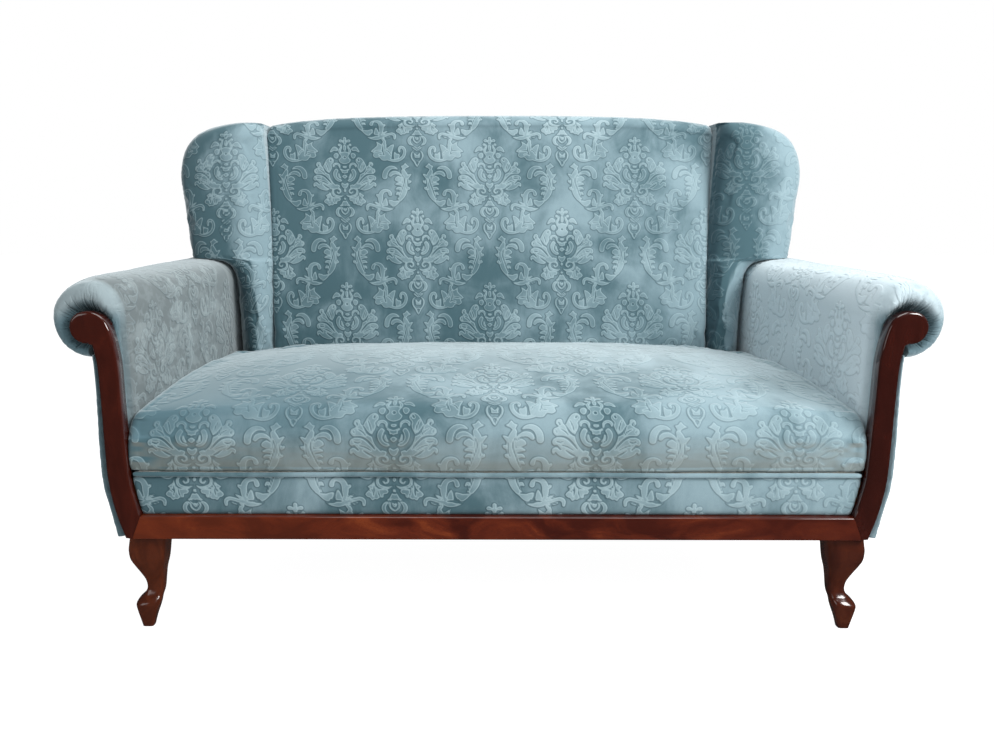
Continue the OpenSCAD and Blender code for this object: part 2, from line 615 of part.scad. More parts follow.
module outside_back() {
    right = concat(reversed(side_line), arc(roll_x, roll_z, roll_r, -90, 88, 24), wing_line,
        [for (u = [1 : -0.1 : 0.1]) [u * seam_x(back_h), crown_top(u)]]);
    color(velvet) on_rake(0, panel_t) polygon(concat(right, reversed(mirrored(right))));
}
dust_t = 1;
module dust_cover() {
    w = rail_x0 + rail_t - 2;
    leg_box = 110;
    color("dimgray") translate([0, 0, leg_h - dust_t - gap]) linear_extrude(dust_t) difference() {
        translate([-w, front_rail_y]) square([2 * w, post_rear(leg_h) - front_rail_y - 3]);
        for (s = [-1, 1]) both(s) {
            translate([w - leg_box + 20, front_rail_y - 1]) square([leg_box, leg_box - 20]);
            translate([w - leg_box + 20, rear_leg_y - rear_leg_w - 12]) square([leg_box, leg_box]);
        }
    }
}

show_rail();
arm_facing(-1);  // left_arm_facing
arm_facing(1);  // right_arm_facing
front_leg(-1);  // front_left_leg
front_leg(1);  // front_right_leg
rear_leg(-1);  // rear_left_leg
rear_leg(1);  // rear_right_leg
leg_bolts();
front_seat_rail();
rear_seat_rail();
side_rail(-1);  // left_seat_rail
side_rail(1);  // right_seat_rail
cross_rails();
corner_blocks();
seat_springs();
spring_clips();
spring_cloth();
seat_base_pad();
seat_foam();
seat_cover();
seat_piping();
border_pad();
border_cover();
arm_post(-1);  // left_arm_post
arm_post(1);  // right_arm_post
arm_rear_post(-1);  // left_arm_rear_post
arm_rear_post(1);  // right_arm_rear_post
arm_roll_rail(-1);  // left_arm_roll_rail
arm_roll_rail(1);  // right_arm_roll_rail
arm_board(-1);  // left_arm_board
arm_board(1);  // right_arm_board
arm_padding(-1);  // left_arm_padding
arm_padding(1);  // right_arm_padding
arm_cover(-1);  // left_arm_cover
arm_cover(1);  // right_arm_cover
outside_arm(-1);  // left_outside_arm
outside_arm(1);  // right_outside_arm
back_post(-1);  // left_back_post
back_post(1);  // right_back_post
crest_rail();
lower_back_rail();
back_webbing();
back_foam();
back_cover();
wing_board(-1);  // left_wing_board
wing_board(1);  // right_wing_board
wing_padding(-1);  // left_wing_padding
wing_padding(1);  // right_wing_padding
wing_cover(-1);  // left_wing_cover
wing_cover(1);  // right_wing_cover
outside_wing(-1);  // left_outside_wing
outside_wing(1);  // right_outside_wing
outside_back();
dust_cover();
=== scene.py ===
"""Looks of the damask wing settee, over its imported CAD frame. Formulas are in millimetres."""
import json
import math
import random
from functools import reduce

import bpy
import numpy as np
from mathutils import Matrix, Vector


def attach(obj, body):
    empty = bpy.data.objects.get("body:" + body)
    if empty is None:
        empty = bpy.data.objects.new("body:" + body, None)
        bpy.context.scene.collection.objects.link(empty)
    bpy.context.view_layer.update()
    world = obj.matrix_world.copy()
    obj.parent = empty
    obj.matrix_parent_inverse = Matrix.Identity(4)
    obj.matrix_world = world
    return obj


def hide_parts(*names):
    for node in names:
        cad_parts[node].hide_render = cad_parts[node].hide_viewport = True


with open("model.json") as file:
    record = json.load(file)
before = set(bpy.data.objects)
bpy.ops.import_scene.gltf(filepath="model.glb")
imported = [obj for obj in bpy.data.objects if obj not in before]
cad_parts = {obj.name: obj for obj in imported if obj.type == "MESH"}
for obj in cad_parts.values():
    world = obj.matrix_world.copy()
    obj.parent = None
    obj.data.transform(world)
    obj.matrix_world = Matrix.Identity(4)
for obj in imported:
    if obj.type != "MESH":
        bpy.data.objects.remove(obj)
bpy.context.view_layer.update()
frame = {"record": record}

MM = 0.001
HAND = {-1: "left", 1: "right"}
# The driving sizes, as in the part's source
SOFA_W, SOFA_D, BACK_H, REAR_RAKE = 1580.0, 800.0, 1006.0, 9.0
ARM_H, ROLL_R, ROLL_DRAW, ARM_IN, ARM_SPLAY = 658.0, 72.0, 8.0, 56.0, 66.0
SEAT_H, SEAT_RISE, SEAT_CROWN, BORDER_H, PIPING_D = 408.0, 38.0, 30.0, 72.0, 9.0
BACK_D, FACE_RAKE, BACK_FULL, BACK_FLARE, TOP_R = 296.0, 16.0, 14.0, 40.0, 40.0
WING_FOOT, WING_OUT, WING_EDGE, WING_CROWN = 86.0, 23.0, 56.0, 2.3
LEG_H, LEG_W, SHOW_H, SHOW_T, HEAD_R, PANEL_T = 184.0, 70.0, 43.0, 24.0, 28.5, 5.0
GAP = 0.3
# The most points along either side of a piece's hidden inner grid
INNER_POINTS = 60
# Places that follow from them
FRONT_Y = -SOFA_D / 2
HALF_W = SOFA_W / 2
SEAT_D = SOFA_D - BACK_D
ROLL_X = HALF_W - ROLL_R
ROLL_Z = ARM_H - ROLL_R
HEAD_Z = ROLL_Z - 14
BORDER_Z0 = LEG_H + SHOW_H + GAP
BORDER_Z1 = BORDER_Z0 + BORDER_H
PIPING_Z = BORDER_Z1 + PIPING_D / 2
SEAT_Z0 = BORDER_Z1 + PIPING_D + GAP
SEAT_BACK_Y = FRONT_Y + SEAT_D
BACK_HALF = ROLL_X - ARM_IN - ARM_SPLAY - WING_FOOT
ARM_FRONT_Y = FRONT_Y + SHOW_T + GAP
BORDER_Y = FRONT_Y + 12
WING_LOW_Z = SEAT_H + 14
WING_TOP = BACK_H - 28
LEG_OUT_X = ROLL_X - 42
LEG_FRONT_Y = FRONT_Y + 12
# The inside of a padded arm starts on the seat frame, and stands out less at the rear than the solid does
WALL_Z0 = LEG_H + 100
SPLAY = ARM_SPLAY - 16
# Where the facing, its mitre with the rail and the piping end
FACING_IN = ROLL_X - 58
MITRE_X = ROLL_X - 56
PIPING_END = ROLL_X - 63
RAKE_COS = math.cos(math.radians(REAR_RAKE))
PANEL_RAKED = PANEL_T / RAKE_COS


def tan(deg):
    return math.tan(math.radians(deg))


def clamp(value, low=0.0, high=1.0):
    return np.minimum(high, np.maximum(low, value))


def smooth(value):
    t = clamp(value)
    return t * t * (3 - 2 * t)


def rear_y(z):
    return SOFA_D / 2 - (BACK_H - z) * tan(REAR_RAKE)


def arm_end(z):
    return rear_y(z) - PANEL_RAKED - 2 * GAP


def wall_x(y):
    return ROLL_X - ARM_IN - SPLAY * clamp((y - FRONT_Y) / SEAT_D)


def seam_x(z):
    """Seam between back and wing, flared to the top and bowed in by 5."""
    share = np.clip((z - SEAT_H) / (BACK_H - SEAT_H), 0, 1)
    return BACK_HALF + BACK_FLARE * share - 5 * np.sin(math.pi * share)


def points(x, y, z):
    return np.stack(np.broadcast_arrays(x, y, z), axis=-1)


def spline(knots, steps):
    """Catmull-Rom curve through the knots, with so many steps between each pair."""
    p = np.asarray(knots, float)
    last = len(p) - 1
    out = []
    for i in range(last):
        a, b, c, d = p[max(0, i - 1)], p[i], p[i + 1], p[min(last, i + 2)]
        for k in range(steps):
            t = k / steps
            out.append(0.5 * (2 * b + (c - a) * t + (2 * a - 5 * b + 4 * c - d) * t * t
                              + (3 * b - a - 3 * c + d) * t ** 3))
    out.append(p[last])
    return np.array(out)


def lengths(path):
    """Distance along a path up to each of its points."""
    return np.concatenate([[0.0], np.cumsum(np.linalg.norm(np.diff(path, axis=0), axis=1))])


def even(path, count):
    """The same path with evenly spaced points."""
    s = lengths(path)
    t = np.linspace(0, s[-1], count)
    return np.stack([np.interp(t, s, path[:, k]) for k in range(path.shape[1])], axis=1)


def across_grid(grid):
    """Distance along each row of a grid of points."""
    step = np.linalg.norm(np.diff(grid, axis=1), axis=2)
    return np.concatenate([np.zeros_like(step[:, :1]), np.cumsum(step, axis=1)], axis=1)


def crossing(far, height, level):
    """Distance along each row of a grid at which it first reaches a level."""
    i, k = np.arange(len(far)), np.argmax(height > level, axis=1)
    a, b = height[i, k - 1], height[i, k]
    return far[i, k - 1] + (far[i, k] - far[i, k - 1]) * (level - a) / (b - a)


def ripple(x, y, seed):
    """Slow, repeatable unevenness of a stuffed surface, about -1 to 1."""
    rng = random.Random(seed)
    total = np.zeros_like(x, dtype=float)
    for _ in range(6):
        kx, ky, ph = rng.uniform(-0.03, 0.03), rng.uniform(-0.03, 0.03), rng.uniform(0, 6.28)
        total = total + np.sin(kx * x + ky * y + ph)
    return total / 3.0


def normals_of(grid):
    n = np.cross(np.gradient(grid, axis=0), np.gradient(grid, axis=1))
    return n / np.maximum(1e-9, np.linalg.norm(n, axis=2))[..., None]


def round_off(distance, radius):
    """How far a rounded edge has dropped, as a share of its radius, at a distance from the edge."""
    q = clamp(1 - distance / radius)
    return 1 - np.sqrt(np.maximum(0.0, 1 - q * q))


# Meshes
def new_object(name, mesh):
    obj = bpy.data.objects.new(name, mesh)
    bpy.context.scene.collection.objects.link(obj)
    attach(obj, "root")
    return obj


def quads(n, m, offset=0):
    """Faces of a grid of points."""
    i, j = np.meshgrid(np.arange(n - 1), np.arange(m - 1), indexing="ij")
    a = offset + i * m + j
    return np.stack([a, a + 1, a + m + 1, a + m], axis=-1).reshape(-1, 4)


def ring_faces(rings, ring, flip=False):
    """Faces of a solid made of rings of points: its sides and both ends."""
    a = np.arange((rings - 1) * ring)
    b = a // ring * ring + (a + 1) % ring
    sides = np.stack([a, b, b + ring, a + ring], axis=1)
    ends = [np.arange(ring)[::-1], (rings - 1) * ring + np.arange(ring)]
    if flip:
        sides, ends = sides[:, [0, 3, 2, 1]], [end[::-1] for end in ends]
    return [sides] + [end[None] for end in ends]


def mesh_from(name, verts, groups, material, sharp, cloth=None):
    """Mesh from groups of faces; cloth is each point's place in the fabric, in centimetres of pattern."""
    loops = np.concatenate([np.concatenate(group) for group in groups])
    totals = np.concatenate([[len(face) for face in group] for group in groups])
    mesh = bpy.data.meshes.new(name)
    mesh.vertices.add(len(verts))
    mesh.vertices.foreach_set("co", (np.asarray(verts) * MM).ravel())
    mesh.loops.add(len(loops))
    mesh.loops.foreach_set("vertex_index", loops)
    mesh.polygons.add(len(totals))
    mesh.polygons.foreach_set("loop_start", np.cumsum(totals) - totals)
    mesh.update(calc_edges=True)
    if cloth is not None:
        motif = mesh.attributes.new("motif", "FLOAT", "POINT")
        motif.data.foreach_set("value", motif_at(cloth).astype(np.float32))
    mesh.materials.append(material)
    mesh.validate()
    mesh.shade_smooth()
    mesh.set_sharp_from_angle(angle=math.radians(sharp))
    return mesh


def thinned(count, most):
    return np.unique(np.linspace(0, count - 1, min(count, most)).round().astype(int))


def shell(name, outer, inner, cloth, material, side=1, sharp=50.0):
    """Closed form between a fine outer and a coarse inner grid of points, mirrored for the left side. The
    damask stands out of the outer one."""
    n, m = outer.shape[:2]
    out = normals_of(outer)
    out *= np.sign(np.sum(out * (outer - inner)))
    outer = outer + out * (RELIEF * smooth((motif_at(cloth) + 0.14) / 0.28))[..., None]
    rows, cols = thinned(n, INNER_POINTS), thinned(m, INNER_POINTS)
    base, wide = n * m, len(cols)
    verts = np.concatenate([outer.reshape(-1, 3), inner[np.ix_(rows, cols)].reshape(-1, 3)])
    rim = []
    for start in (True, False):
        j, jc = (0, 0) if start else (m - 1, wide - 1)
        for a in range(len(rows) - 1):
            face = [i * m + j for i in range(rows[a], rows[a + 1] + 1)]
            face += [base + (a + 1) * wide + jc, base + a * wide + jc]
            rim.append(face[::-1] if start else face)
        i, ic = (0, 0) if start else (n - 1, len(rows) - 1)
        for b in range(wide - 1):
            face = [i * m + j for j in range(cols[b], cols[b + 1] + 1)]
            face += [base + ic * wide + b + 1, base + ic * wide + b]
            rim.append(face if start else face[::-1])
    groups = [quads(n, m), quads(len(rows), wide, base)[:, ::-1], rim]
    if side < 0:
        verts = verts * np.array([-1, 1, 1])
    if signed_volume(verts, groups) < 0:
        groups = [groups[0][:, ::-1], groups[1][:, ::-1], [face[::-1] for face in rim]]
    places = np.concatenate([cloth.reshape(-1, 2), cloth[np.ix_(rows, cols)].reshape(-1, 2)])
    return new_object(name, mesh_from(name, verts, groups, material, sharp, places))


def signed_volume(verts, groups):
    total = 0.0
    for group in groups:
        if isinstance(group, list):
            group = np.array([(f[0], f[k], f[k + 1]) for f in group for k in range(1, len(f) - 1)])
        p = verts[group]
        for k in range(1, p.shape[1] - 1):
            total += np.einsum("ij,ij->", p[:, 0], np.cross(p[:, k], p[:, k + 1]))
    return total / 6


def outline_solid(name, outline, y0, y1, edge, crown, material):
    """Board cut to an outline in X and Z, from y0 back to y1, with a rounded front edge."""
    p = np.asarray(outline, float)
    # The rounded edge runs out towards the mitre, which joins the outline's last point to its first
    ends = lengths(p)
    ends = smooth(np.minimum(ends, ends[-1] - ends) / 16)[:, None]
    if np.sum(p[:, 0] * np.roll(p[:, 1], -1) - np.roll(p[:, 0], -1) * p[:, 1]) < 0:
        p, ends = p[::-1], ends[::-1]
    ahead, behind = np.roll(p, -1, axis=0) - p, p - np.roll(p, 1, axis=0)
    ahead /= np.linalg.norm(ahead, axis=1)[:, None]
    behind /= np.linalg.norm(behind, axis=1)[:, None]
    mid = ahead + behind
    mid /= np.linalg.norm(mid, axis=1)[:, None]
    inward = np.stack([-mid[:, 1], mid[:, 0]], axis=1)
    stretch = 1 / np.maximum(0.75, np.sum(mid * ahead, axis=1))
    # Each ring's place along Y and how far in it lies: a chamfer behind, a quarter round, a crown in front
    chamfer = 0.8
    rings = [(y1, chamfer), (y1 - chamfer, 0.0)]
    rings += [(y0 + edge * (1 - math.sin(a)), edge * (1 - math.cos(a)))
              for a in np.linspace(0, math.pi / 2, 8)]
    rings.append((y0 - crown * 0.5, edge * 1.6))
    verts = []
    for y, inset in rings:
        x, z = (p + inward * (stretch * inset)[:, None] * ends).T
        verts.append(points(x, y, z))
    mesh = mesh_from(name, np.concatenate(verts), ring_faces(len(rings), len(p)), material, sharp=60.0)
    return new_object(name, mesh)


def soften(outer, pressure, cap):
    """Cloth-simulate the sheet, held at its edges, on a coarse copy of its grid, and add what it moved by,
    up to a cap."""
    n, m = outer.shape[:2]
    most_rows, most_cols = 72, 60
    rows, cols = thinned(n, most_rows), thinned(m, most_cols)
    coarse = outer[np.ix_(rows, cols)] * MM
    hold = np.zeros((n, m))
    hold[:2], hold[-2:], hold[:, :2], hold[:, -2:] = 1, 1, 1, 1
    mesh = bpy.data.meshes.new("soften")
    mesh.from_pydata(coarse.reshape(-1, 3).tolist(), [], quads(len(rows), len(cols)).tolist())
    obj = bpy.data.objects.new("soften", mesh)
    bpy.context.scene.collection.objects.link(obj)
    group = obj.vertex_groups.new(name="pin")
    for index, weight in enumerate(hold[np.ix_(rows, cols)].ravel()):
        group.add([index], float(weight), "REPLACE")
    cloth = obj.modifiers.new("Cloth", "CLOTH")
    s = cloth.settings
    s.vertex_group_mass = "pin"
    s.quality = 6
    s.mass = 0.3
    s.tension_stiffness = s.compression_stiffness = 18
    s.shear_stiffness = 6
    s.bending_stiffness = 0.8
    s.use_pressure = True
    s.uniform_pressure_force = pressure
    s.shrink_min = s.shrink_max = -0.012
    s.effector_weights.gravity = 0
    cloth.collision_settings.use_collision = False
    scene = bpy.context.scene
    steps = 20
    cloth.point_cache.frame_end = steps
    for step in range(1, steps + 1):
        scene.frame_set(step)
    done = obj.evaluated_get(bpy.context.evaluated_depsgraph_get())
    out = np.empty(len(mesh.vertices) * 3)
    done.data.vertices.foreach_get("co", out)
    moved = (out.reshape(coarse.shape) - coarse) / MM
    bpy.data.objects.remove(obj)
    scene.frame_set(1)
    size = np.linalg.norm(moved, axis=2)
    moved *= (np.minimum(size, cap) / np.maximum(size, 1e-6))[..., None]
    # Spread over the fine grid, down its columns and then along its rows
    for every, at in ((np.arange(n), rows), (np.arange(m), cols)):
        moved = np.array([[np.interp(every, at, line) for line in plane.T]
                          for plane in moved.swapaxes(0, 1)])
        moved = moved.transpose(0, 2, 1)
    return outer + moved


# Shader helpers
class Nodes:
    """Short names for building a node tree."""

    def __init__(self, tree):
        self.tree = tree

    def link(self, inputs, values):
        """Set or link some inputs of a node, by their names or numbers."""
        for key, value in values.items():
            if isinstance(value, (int, float, tuple)):
                inputs[key].default_value = value
            else:
                self.tree.links.new(value, inputs[key])

    def add(self, kind, values=None, **settings):
        node = self.tree.nodes.new(kind)
        for key, value in settings.items():
            setattr(node, key, value)
        self.link(node.inputs, values or {})
        return node

    def math(self, kind, *values):
        return self.add("ShaderNodeMath", dict(enumerate(values)), operation=kind).outputs[0]

    def total(self, *values):
        return reduce(lambda a, b: self.math("ADD", a, b), values)

    def product(self, *values):
        return reduce(lambda a, b: self.math("MULTIPLY", a, b), values)

    def stretch(self, vector, factors):
        return self.add("ShaderNodeVectorMath", {0: vector, 1: factors}, operation="MULTIPLY").outputs[0]

    def split(self, vector):
        return self.add("ShaderNodeSeparateXYZ", {0: vector}).outputs

    def mix(self, share, a, b):
        return self.add("ShaderNodeMix", {0: share, 6: a, 7: b}, data_type="RGBA").outputs[2]

    def layers(self, colour, *layers):
        """A colour with others laid over it, each by its share."""
        return reduce(lambda under, layer: self.mix(layer[0], under, layer[1]), layers, colour)

    def noise(self, vector, scale, detail=3.0, rough=0.5, distort=0.0):
        return self.add("ShaderNodeTexNoise", {"Vector": vector, "Scale": scale, "Detail": detail,
                                               "Roughness": rough, "Distortion": distort}).outputs[0]

    def ramp(self, value, low, high, to_low=0.0, to_high=1.0):
        values = dict(enumerate((value, low, high, to_low, to_high)))
        return self.add("ShaderNodeMapRange", values, interpolation_type="SMOOTHSTEP").outputs[0]

    def bump(self, height, strength, distance):
        values = {"Height": height, "Strength": strength, "Distance": distance}
        return self.add("ShaderNodeBump", values).outputs[0]


def rgb(r, g, b):
    """Linear colour of an sRGB colour given from 0 to 255."""
    linear = [((c / 255 + 0.055) / 1.055) ** 2.4 if c > 10 else c / 255 / 12.92 for c in (r, g, b)]
    return (*linear, 1.0)


# The damask, in centimetres of pattern from the foot of the palmette, mirrored about its axis. One motif
# takes REPEAT_X by REPEAT_Y, with a second one between four of it.
REPEAT_X, REPEAT_Y = 35.4, 35.9
# Pattern centimetres to one centimetre of cloth, up the cloth
PATTERN_Y = 0.992
# How far the motif stands out of the ground, in millimetres
RELIEF = 0.45
# Where the motif's foot lies, in millimetres: its height on the seat's front, the border and the back, on each
# wing its distance from the middle and its height, and the axis on seat and border, with the stretch there
SEAT_MOTIF_Z, BORDER_MOTIF_Z, BACK_MOTIF_Z = 328.0, 287.0, 812.0
WING_MOTIF = {-1: (620.0, 811.0), 1: (600.0, 837.0)}
SEAT_AXIS, SEAT_STRETCH = -184.0, 1.023
# It is drawn once, into a tile with this step and these edges, in centimetres of pattern
TILE_STEP, TILE_X0, TILE_Y0, TILE_Y1 = 0.06, -1.0, -12.5, 15.6
# Leaves: closed outlines through these points; one that starts on the axis is mirrored
LEAVES = [
    # finial
    [(0, 14.4), (.35, 14.2), (.4, 13.8), (.3, 13.4), (.75, 13.7), (1.2, 13.75), (1.5, 13.35), (1.2, 12.95),
     (.75, 12.95), (.4, 12.85), (.35, 12.45), (0, 12.4)],
    [(1.0, 12.5), (1.35, 12.7), (1.75, 12.4), (1.6, 12.0), (1.25, 11.95), (1.0, 12.2)],
    [(0, 12.25), (.33, 12.15), (.38, 11.4), (.3, 10.85), (0, 10.75)],
    # side buds
    [(1.6, 11.2), (2.0, 11.75), (2.7, 11.9), (3.3, 11.3), (3.75, 10.35), (3.2, 10.4), (2.7, 10.75),
     (2.0, 10.7)],
    [(1.5, 9.9), (1.9, 10.25), (2.6, 10.0), (2.75, 9.4), (2.3, 8.8), (1.8, 8.85), (1.5, 9.4)],
    # flower of the axis
    [(0, 10.6), (.5, 10.55), (1.0, 10.3), (1.25, 9.9), (.95, 9.5), (1.05, 9.0), (1.5, 8.6), (1.45, 8.2),
     (1.05, 7.7), (.5, 7.45), (0, 7.35)],
    [(0, 6.95), (.55, 6.9), (.5, 6.5), (0, 6.3)],
    # bow and diamond
    [(0, 5.9), (.5, 6.05), (1.1, 6.3), (1.2, 5.9), (.8, 5.6), (.75, 5.1), (.35, 5.1), (0, 4.95)],
    [(0, 4.75), (.5, 4.5), (.7, 4.25), (.35, 3.9), (0, 3.65)],
    # inner leaves
    [(2.1, 6.3), (2.7, 5.7), (2.9, 4.9), (2.6, 3.9), (2.0, 3.2), (1.2, 2.9), (.6, 3.2), (1.0, 3.6),
     (1.5, 3.8), (1.9, 4.4), (1.8, 5.2), (1.5, 5.8)],
    [(0, 2.4), (.3, 2.5), (.65, 2.75), (.95, 2.4), (.7, 1.7), (.35, 1.3), (0, 1.2)],
    [(0, 1.1), (.3, .9), (.3, .5), (0, .3)],
    # great acanthus leaf of the palmette
    [(1.2, 2.0), (1.9, 2.3), (2.6, 2.6), (3.2, 3.3), (3.6, 4.2), (3.7, 5.1), (3.3, 5.9), (3.1, 6.6),
     (3.2, 7.3), (2.7, 7.9), (2.7, 8.6), (3.3, 9.15), (4.1, 8.9), (4.7, 8.2), (5.1, 7.4), (5.4, 6.8),
     (5.8, 7.2), (5.9, 7.8), (6.4, 8.0), (6.9, 7.75), (7.05, 7.1), (6.6, 6.6), (6.9, 6.4), (7.45, 6.1),
     (7.55, 5.4), (7.1, 4.9), (6.9, 4.65), (7.5, 4.35), (7.75, 3.75), (7.45, 3.2), (6.9, 3.3), (6.7, 2.95),
     (7.3, 2.8), (7.7, 2.5), (7.75, 1.9), (7.4, 1.5), (7.15, 2.0), (6.6, 1.4), (5.6, .9), (4.5, .7),
     (3.6, 1.05), (2.5, 1.15), (1.5, 1.3)],
    # lower lobed leaf
    [(3.7, .7), (3.9, .1), (4.8, -.6), (4.35, -.95), (5.2, -1.9), (4.8, -2.5), (4.4, -2.6), (3.95, -3.2),
     (3.5, -2.9), (3.1, -3.0), (2.7, -2.7), (1.95, -2.6), (1.9, -2.0), (1.3, -1.9), (1.0, -1.3),
     (1.5, -.95), (2.3, -1.0), (3.1, -.7), (3.4, -.1)],
    # crown, heart and star down the axis
    [(0, -1.0), (.3, -1.1), (.3, -1.5), (0, -1.6)],
    [(0, -1.95), (.4, -1.75), (.65, -2.1), (.9, -2.6), (1.45, -3.1), (.9, -3.2), (.4, -3.0), (0, -3.1)],
    [(0, -3.75), (.3, -3.55), (.5, -3.8), (.3, -4.3), (0, -4.5)],
    [(0, -8.3), (.3, -8.0), (.6, -7.6), (.8, -7.9), (.65, -8.5), (.7, -8.9), (.3, -9.0), (0, -8.95)],
    # C-scroll
    [(14.0, 4.0), (13.2, 4.4), (12.4, 4.0), (12.2, 3.4), (12.6, 3.1), (13.3, 2.8), (14.0, 2.9)],
    [(14.3, 5.6), (15.0, 6.3), (15.9, 6.7), (15.3, 7.1), (14.8, 7.7), (14.3, 7.1), (13.7, 6.9), (14.0, 6.3)],
    [(14.1, -1.6), (13.5, -2.1), (12.7, -2.9), (12.0, -3.3), (11.2, -3.1), (10.7, -2.6), (10.65, -1.6),
     (11.3, -1.6), (12.2, -1.8), (13.2, -1.75)],
    [(10.5, -3.0), (10.4, -2.0), (10.2, -1.2), (9.9, -1.1), (9.5, -1.8), (9.2, -2.6), (9.2, -3.2),
     (9.8, -3.1)],
    [(12.2, -3.6), (11.2, -4.2), (10.0, -4.4), (9.0, -4.2), (8.5, -3.7), (8.2, -3.2), (9.3, -3.4),
     (10.3, -3.35), (11.4, -3.6)],
    # cluster leaf under it
    [(7.9, -5.0), (8.5, -5.6), (10.0, -4.7), (9.8, -5.8), (11.3, -7.3), (10.6, -7.7), (10.8, -8.5),
     (10.1, -9.0), (9.2, -8.9), (8.6, -9.6), (7.6, -9.7), (6.4, -9.3), (6.1, -8.4), (6.0, -7.4),
     (5.7, -6.3), (5.6, -5.5), (6.4, -5.7), (7.2, -6.3), (7.4, -5.6)],
    [(5.6, -7.3), (5.0, -7.9), (4.4, -7.9), (4.2, -8.4), (4.6, -9.2), (5.6, -9.3)],
]
# Strokes: spline points with a half width at each
STROKES = [
    [(.75, 12.2, .18), (.95, 11.5, .3), (1.25, 10.8, .34), (1.1, 10.2, .3)],
    # curls inside the palmette
    [(1.25, 6.4, .2), (1.35, 7.1, .3), (2.0, 7.5, .32), (2.65, 7.2, .3), (2.7, 6.7, .22)],
    [(1.45, 5.0, .2), (1.35, 4.3, .28), (1.0, 3.9, .2)],
    # volute
    [(.35, -.4, .12), (1.0, -.75, .24), (1.9, -.7, .3), (2.75, -.3, .32), (3.0, .5, .3), (2.7, 1.1, .26),
     (1.9, 1.3, .26), (1.2, .95, .24), (1.1, .35, .22), (1.6, .05, .2), (1.95, .4, .2)],
    # frame of the heart, crescents, chevrons, teardrop
    [(.55, -3.4, .12), (.85, -3.8, .2), (.8, -4.4, .2), (.4, -4.9, .2), (0, -5.15, .2)],
    [(1.0, -3.4, .15), (1.6, -3.75, .35), (1.95, -4.5, .42), (1.7, -5.3, .36), (1.0, -5.75, .15)],
    [(0, -6.55, .16), (.4, -6.25, .16), (.75, -5.9, .14)], [(0, -7.15, .16), (.5, -6.8, .16),
     (1.0, -6.4, .2)],
    [(.75, -7.2, .12), (1.25, -7.7, .2), (1.4, -8.5, .22), (1.15, -9.3, .2), (.65, -9.95, .2),
     (.3, -10.7, .18), (0, -11.15, .16)],
    [(.6, -9.95, .14), (0, -9.75, .14)],
    # C-scroll: two hooks, body, inner hook, foot
    [(12.9, 6.1, .15), (12.2, 6.45, .35), (11.3, 6.5, .5), (10.5, 6.05, .6), (9.95, 5.2, .68),
     (9.8, 4.2, .66)],
    [(14.0, 3.9, .2), (13.5, 4.7, .35), (12.6, 5.2, .45), (11.7, 5.1, .5), (11.15, 4.6, .45)],
    [(14.3, 5.6, .5), (14.7, 4.6, .7), (14.9, 3.4, .8), (14.8, 2.2, .85), (14.5, 1.0, .9),
     (14.1, -.2, .85), (13.5, -1.3, .6), (12.9, -1.9, .3)],
    [(11.1, -.2, .5), (10.9, .4, .42), (10.2, .75, .4), (9.3, .5, .5), (8.8, -.3, .6), (8.7, -1.3, .62),
     (8.8, -2.3, .5), (9.0, -3.0, .4)],
    [(9.2, -3.6, .5), (8.0, -3.3, .36), (7.0, -2.95, .36), (6.1, -2.8, .4), (5.5, -3.2, .42),
     (5.45, -4.0, .3)],
    # its leaflets
    [(15.2, 4.0, .5), (15.9, 4.6, .3), (16.3, 4.85, .12)], [(15.4, 2.9, .5), (16.0, 2.9, .3),
     (16.25, 3.2, .12)],
    [(15.2, 1.3, .5), (15.7, 1.2, .3), (15.9, 1.5, .12)], [(13.9, 2.3, .4), (13.1, 2.4, .36),
     (12.5, 2.3, .2)],
    [(13.7, 1.2, .4), (13.0, 1.3, .34), (12.5, 1.0, .16)], [(13.3, -.1, .35), (12.9, .1, .3),
     (12.6, -.3, .2)],
    [(8.4, -.7, .4), (7.9, -.5, .3), (7.8, -.2, .15)], [(8.3, -2.8, .3), (7.6, -2.3, .22), (7.2, -2.1, .12)],
    [(8.4, -4.0, .3), (7.4, -3.8, .24), (6.6, -3.6, .2)],
    # stem and ring of the cluster leaf
    [(8.3, -4.2, .4), (7.9, -4.9, .4), (8.2, -5.6, .5)],
    [(6.9, -9.4, .35), (5.6, -9.7, .36), (4.4, -9.5, .4), (3.4, -8.7, .42), (3.0, -7.5, .42),
     (3.3, -6.5, .4), (4.0, -6.2, .36), (4.4, -6.8, .34), (4.3, -7.4, .28)],
]
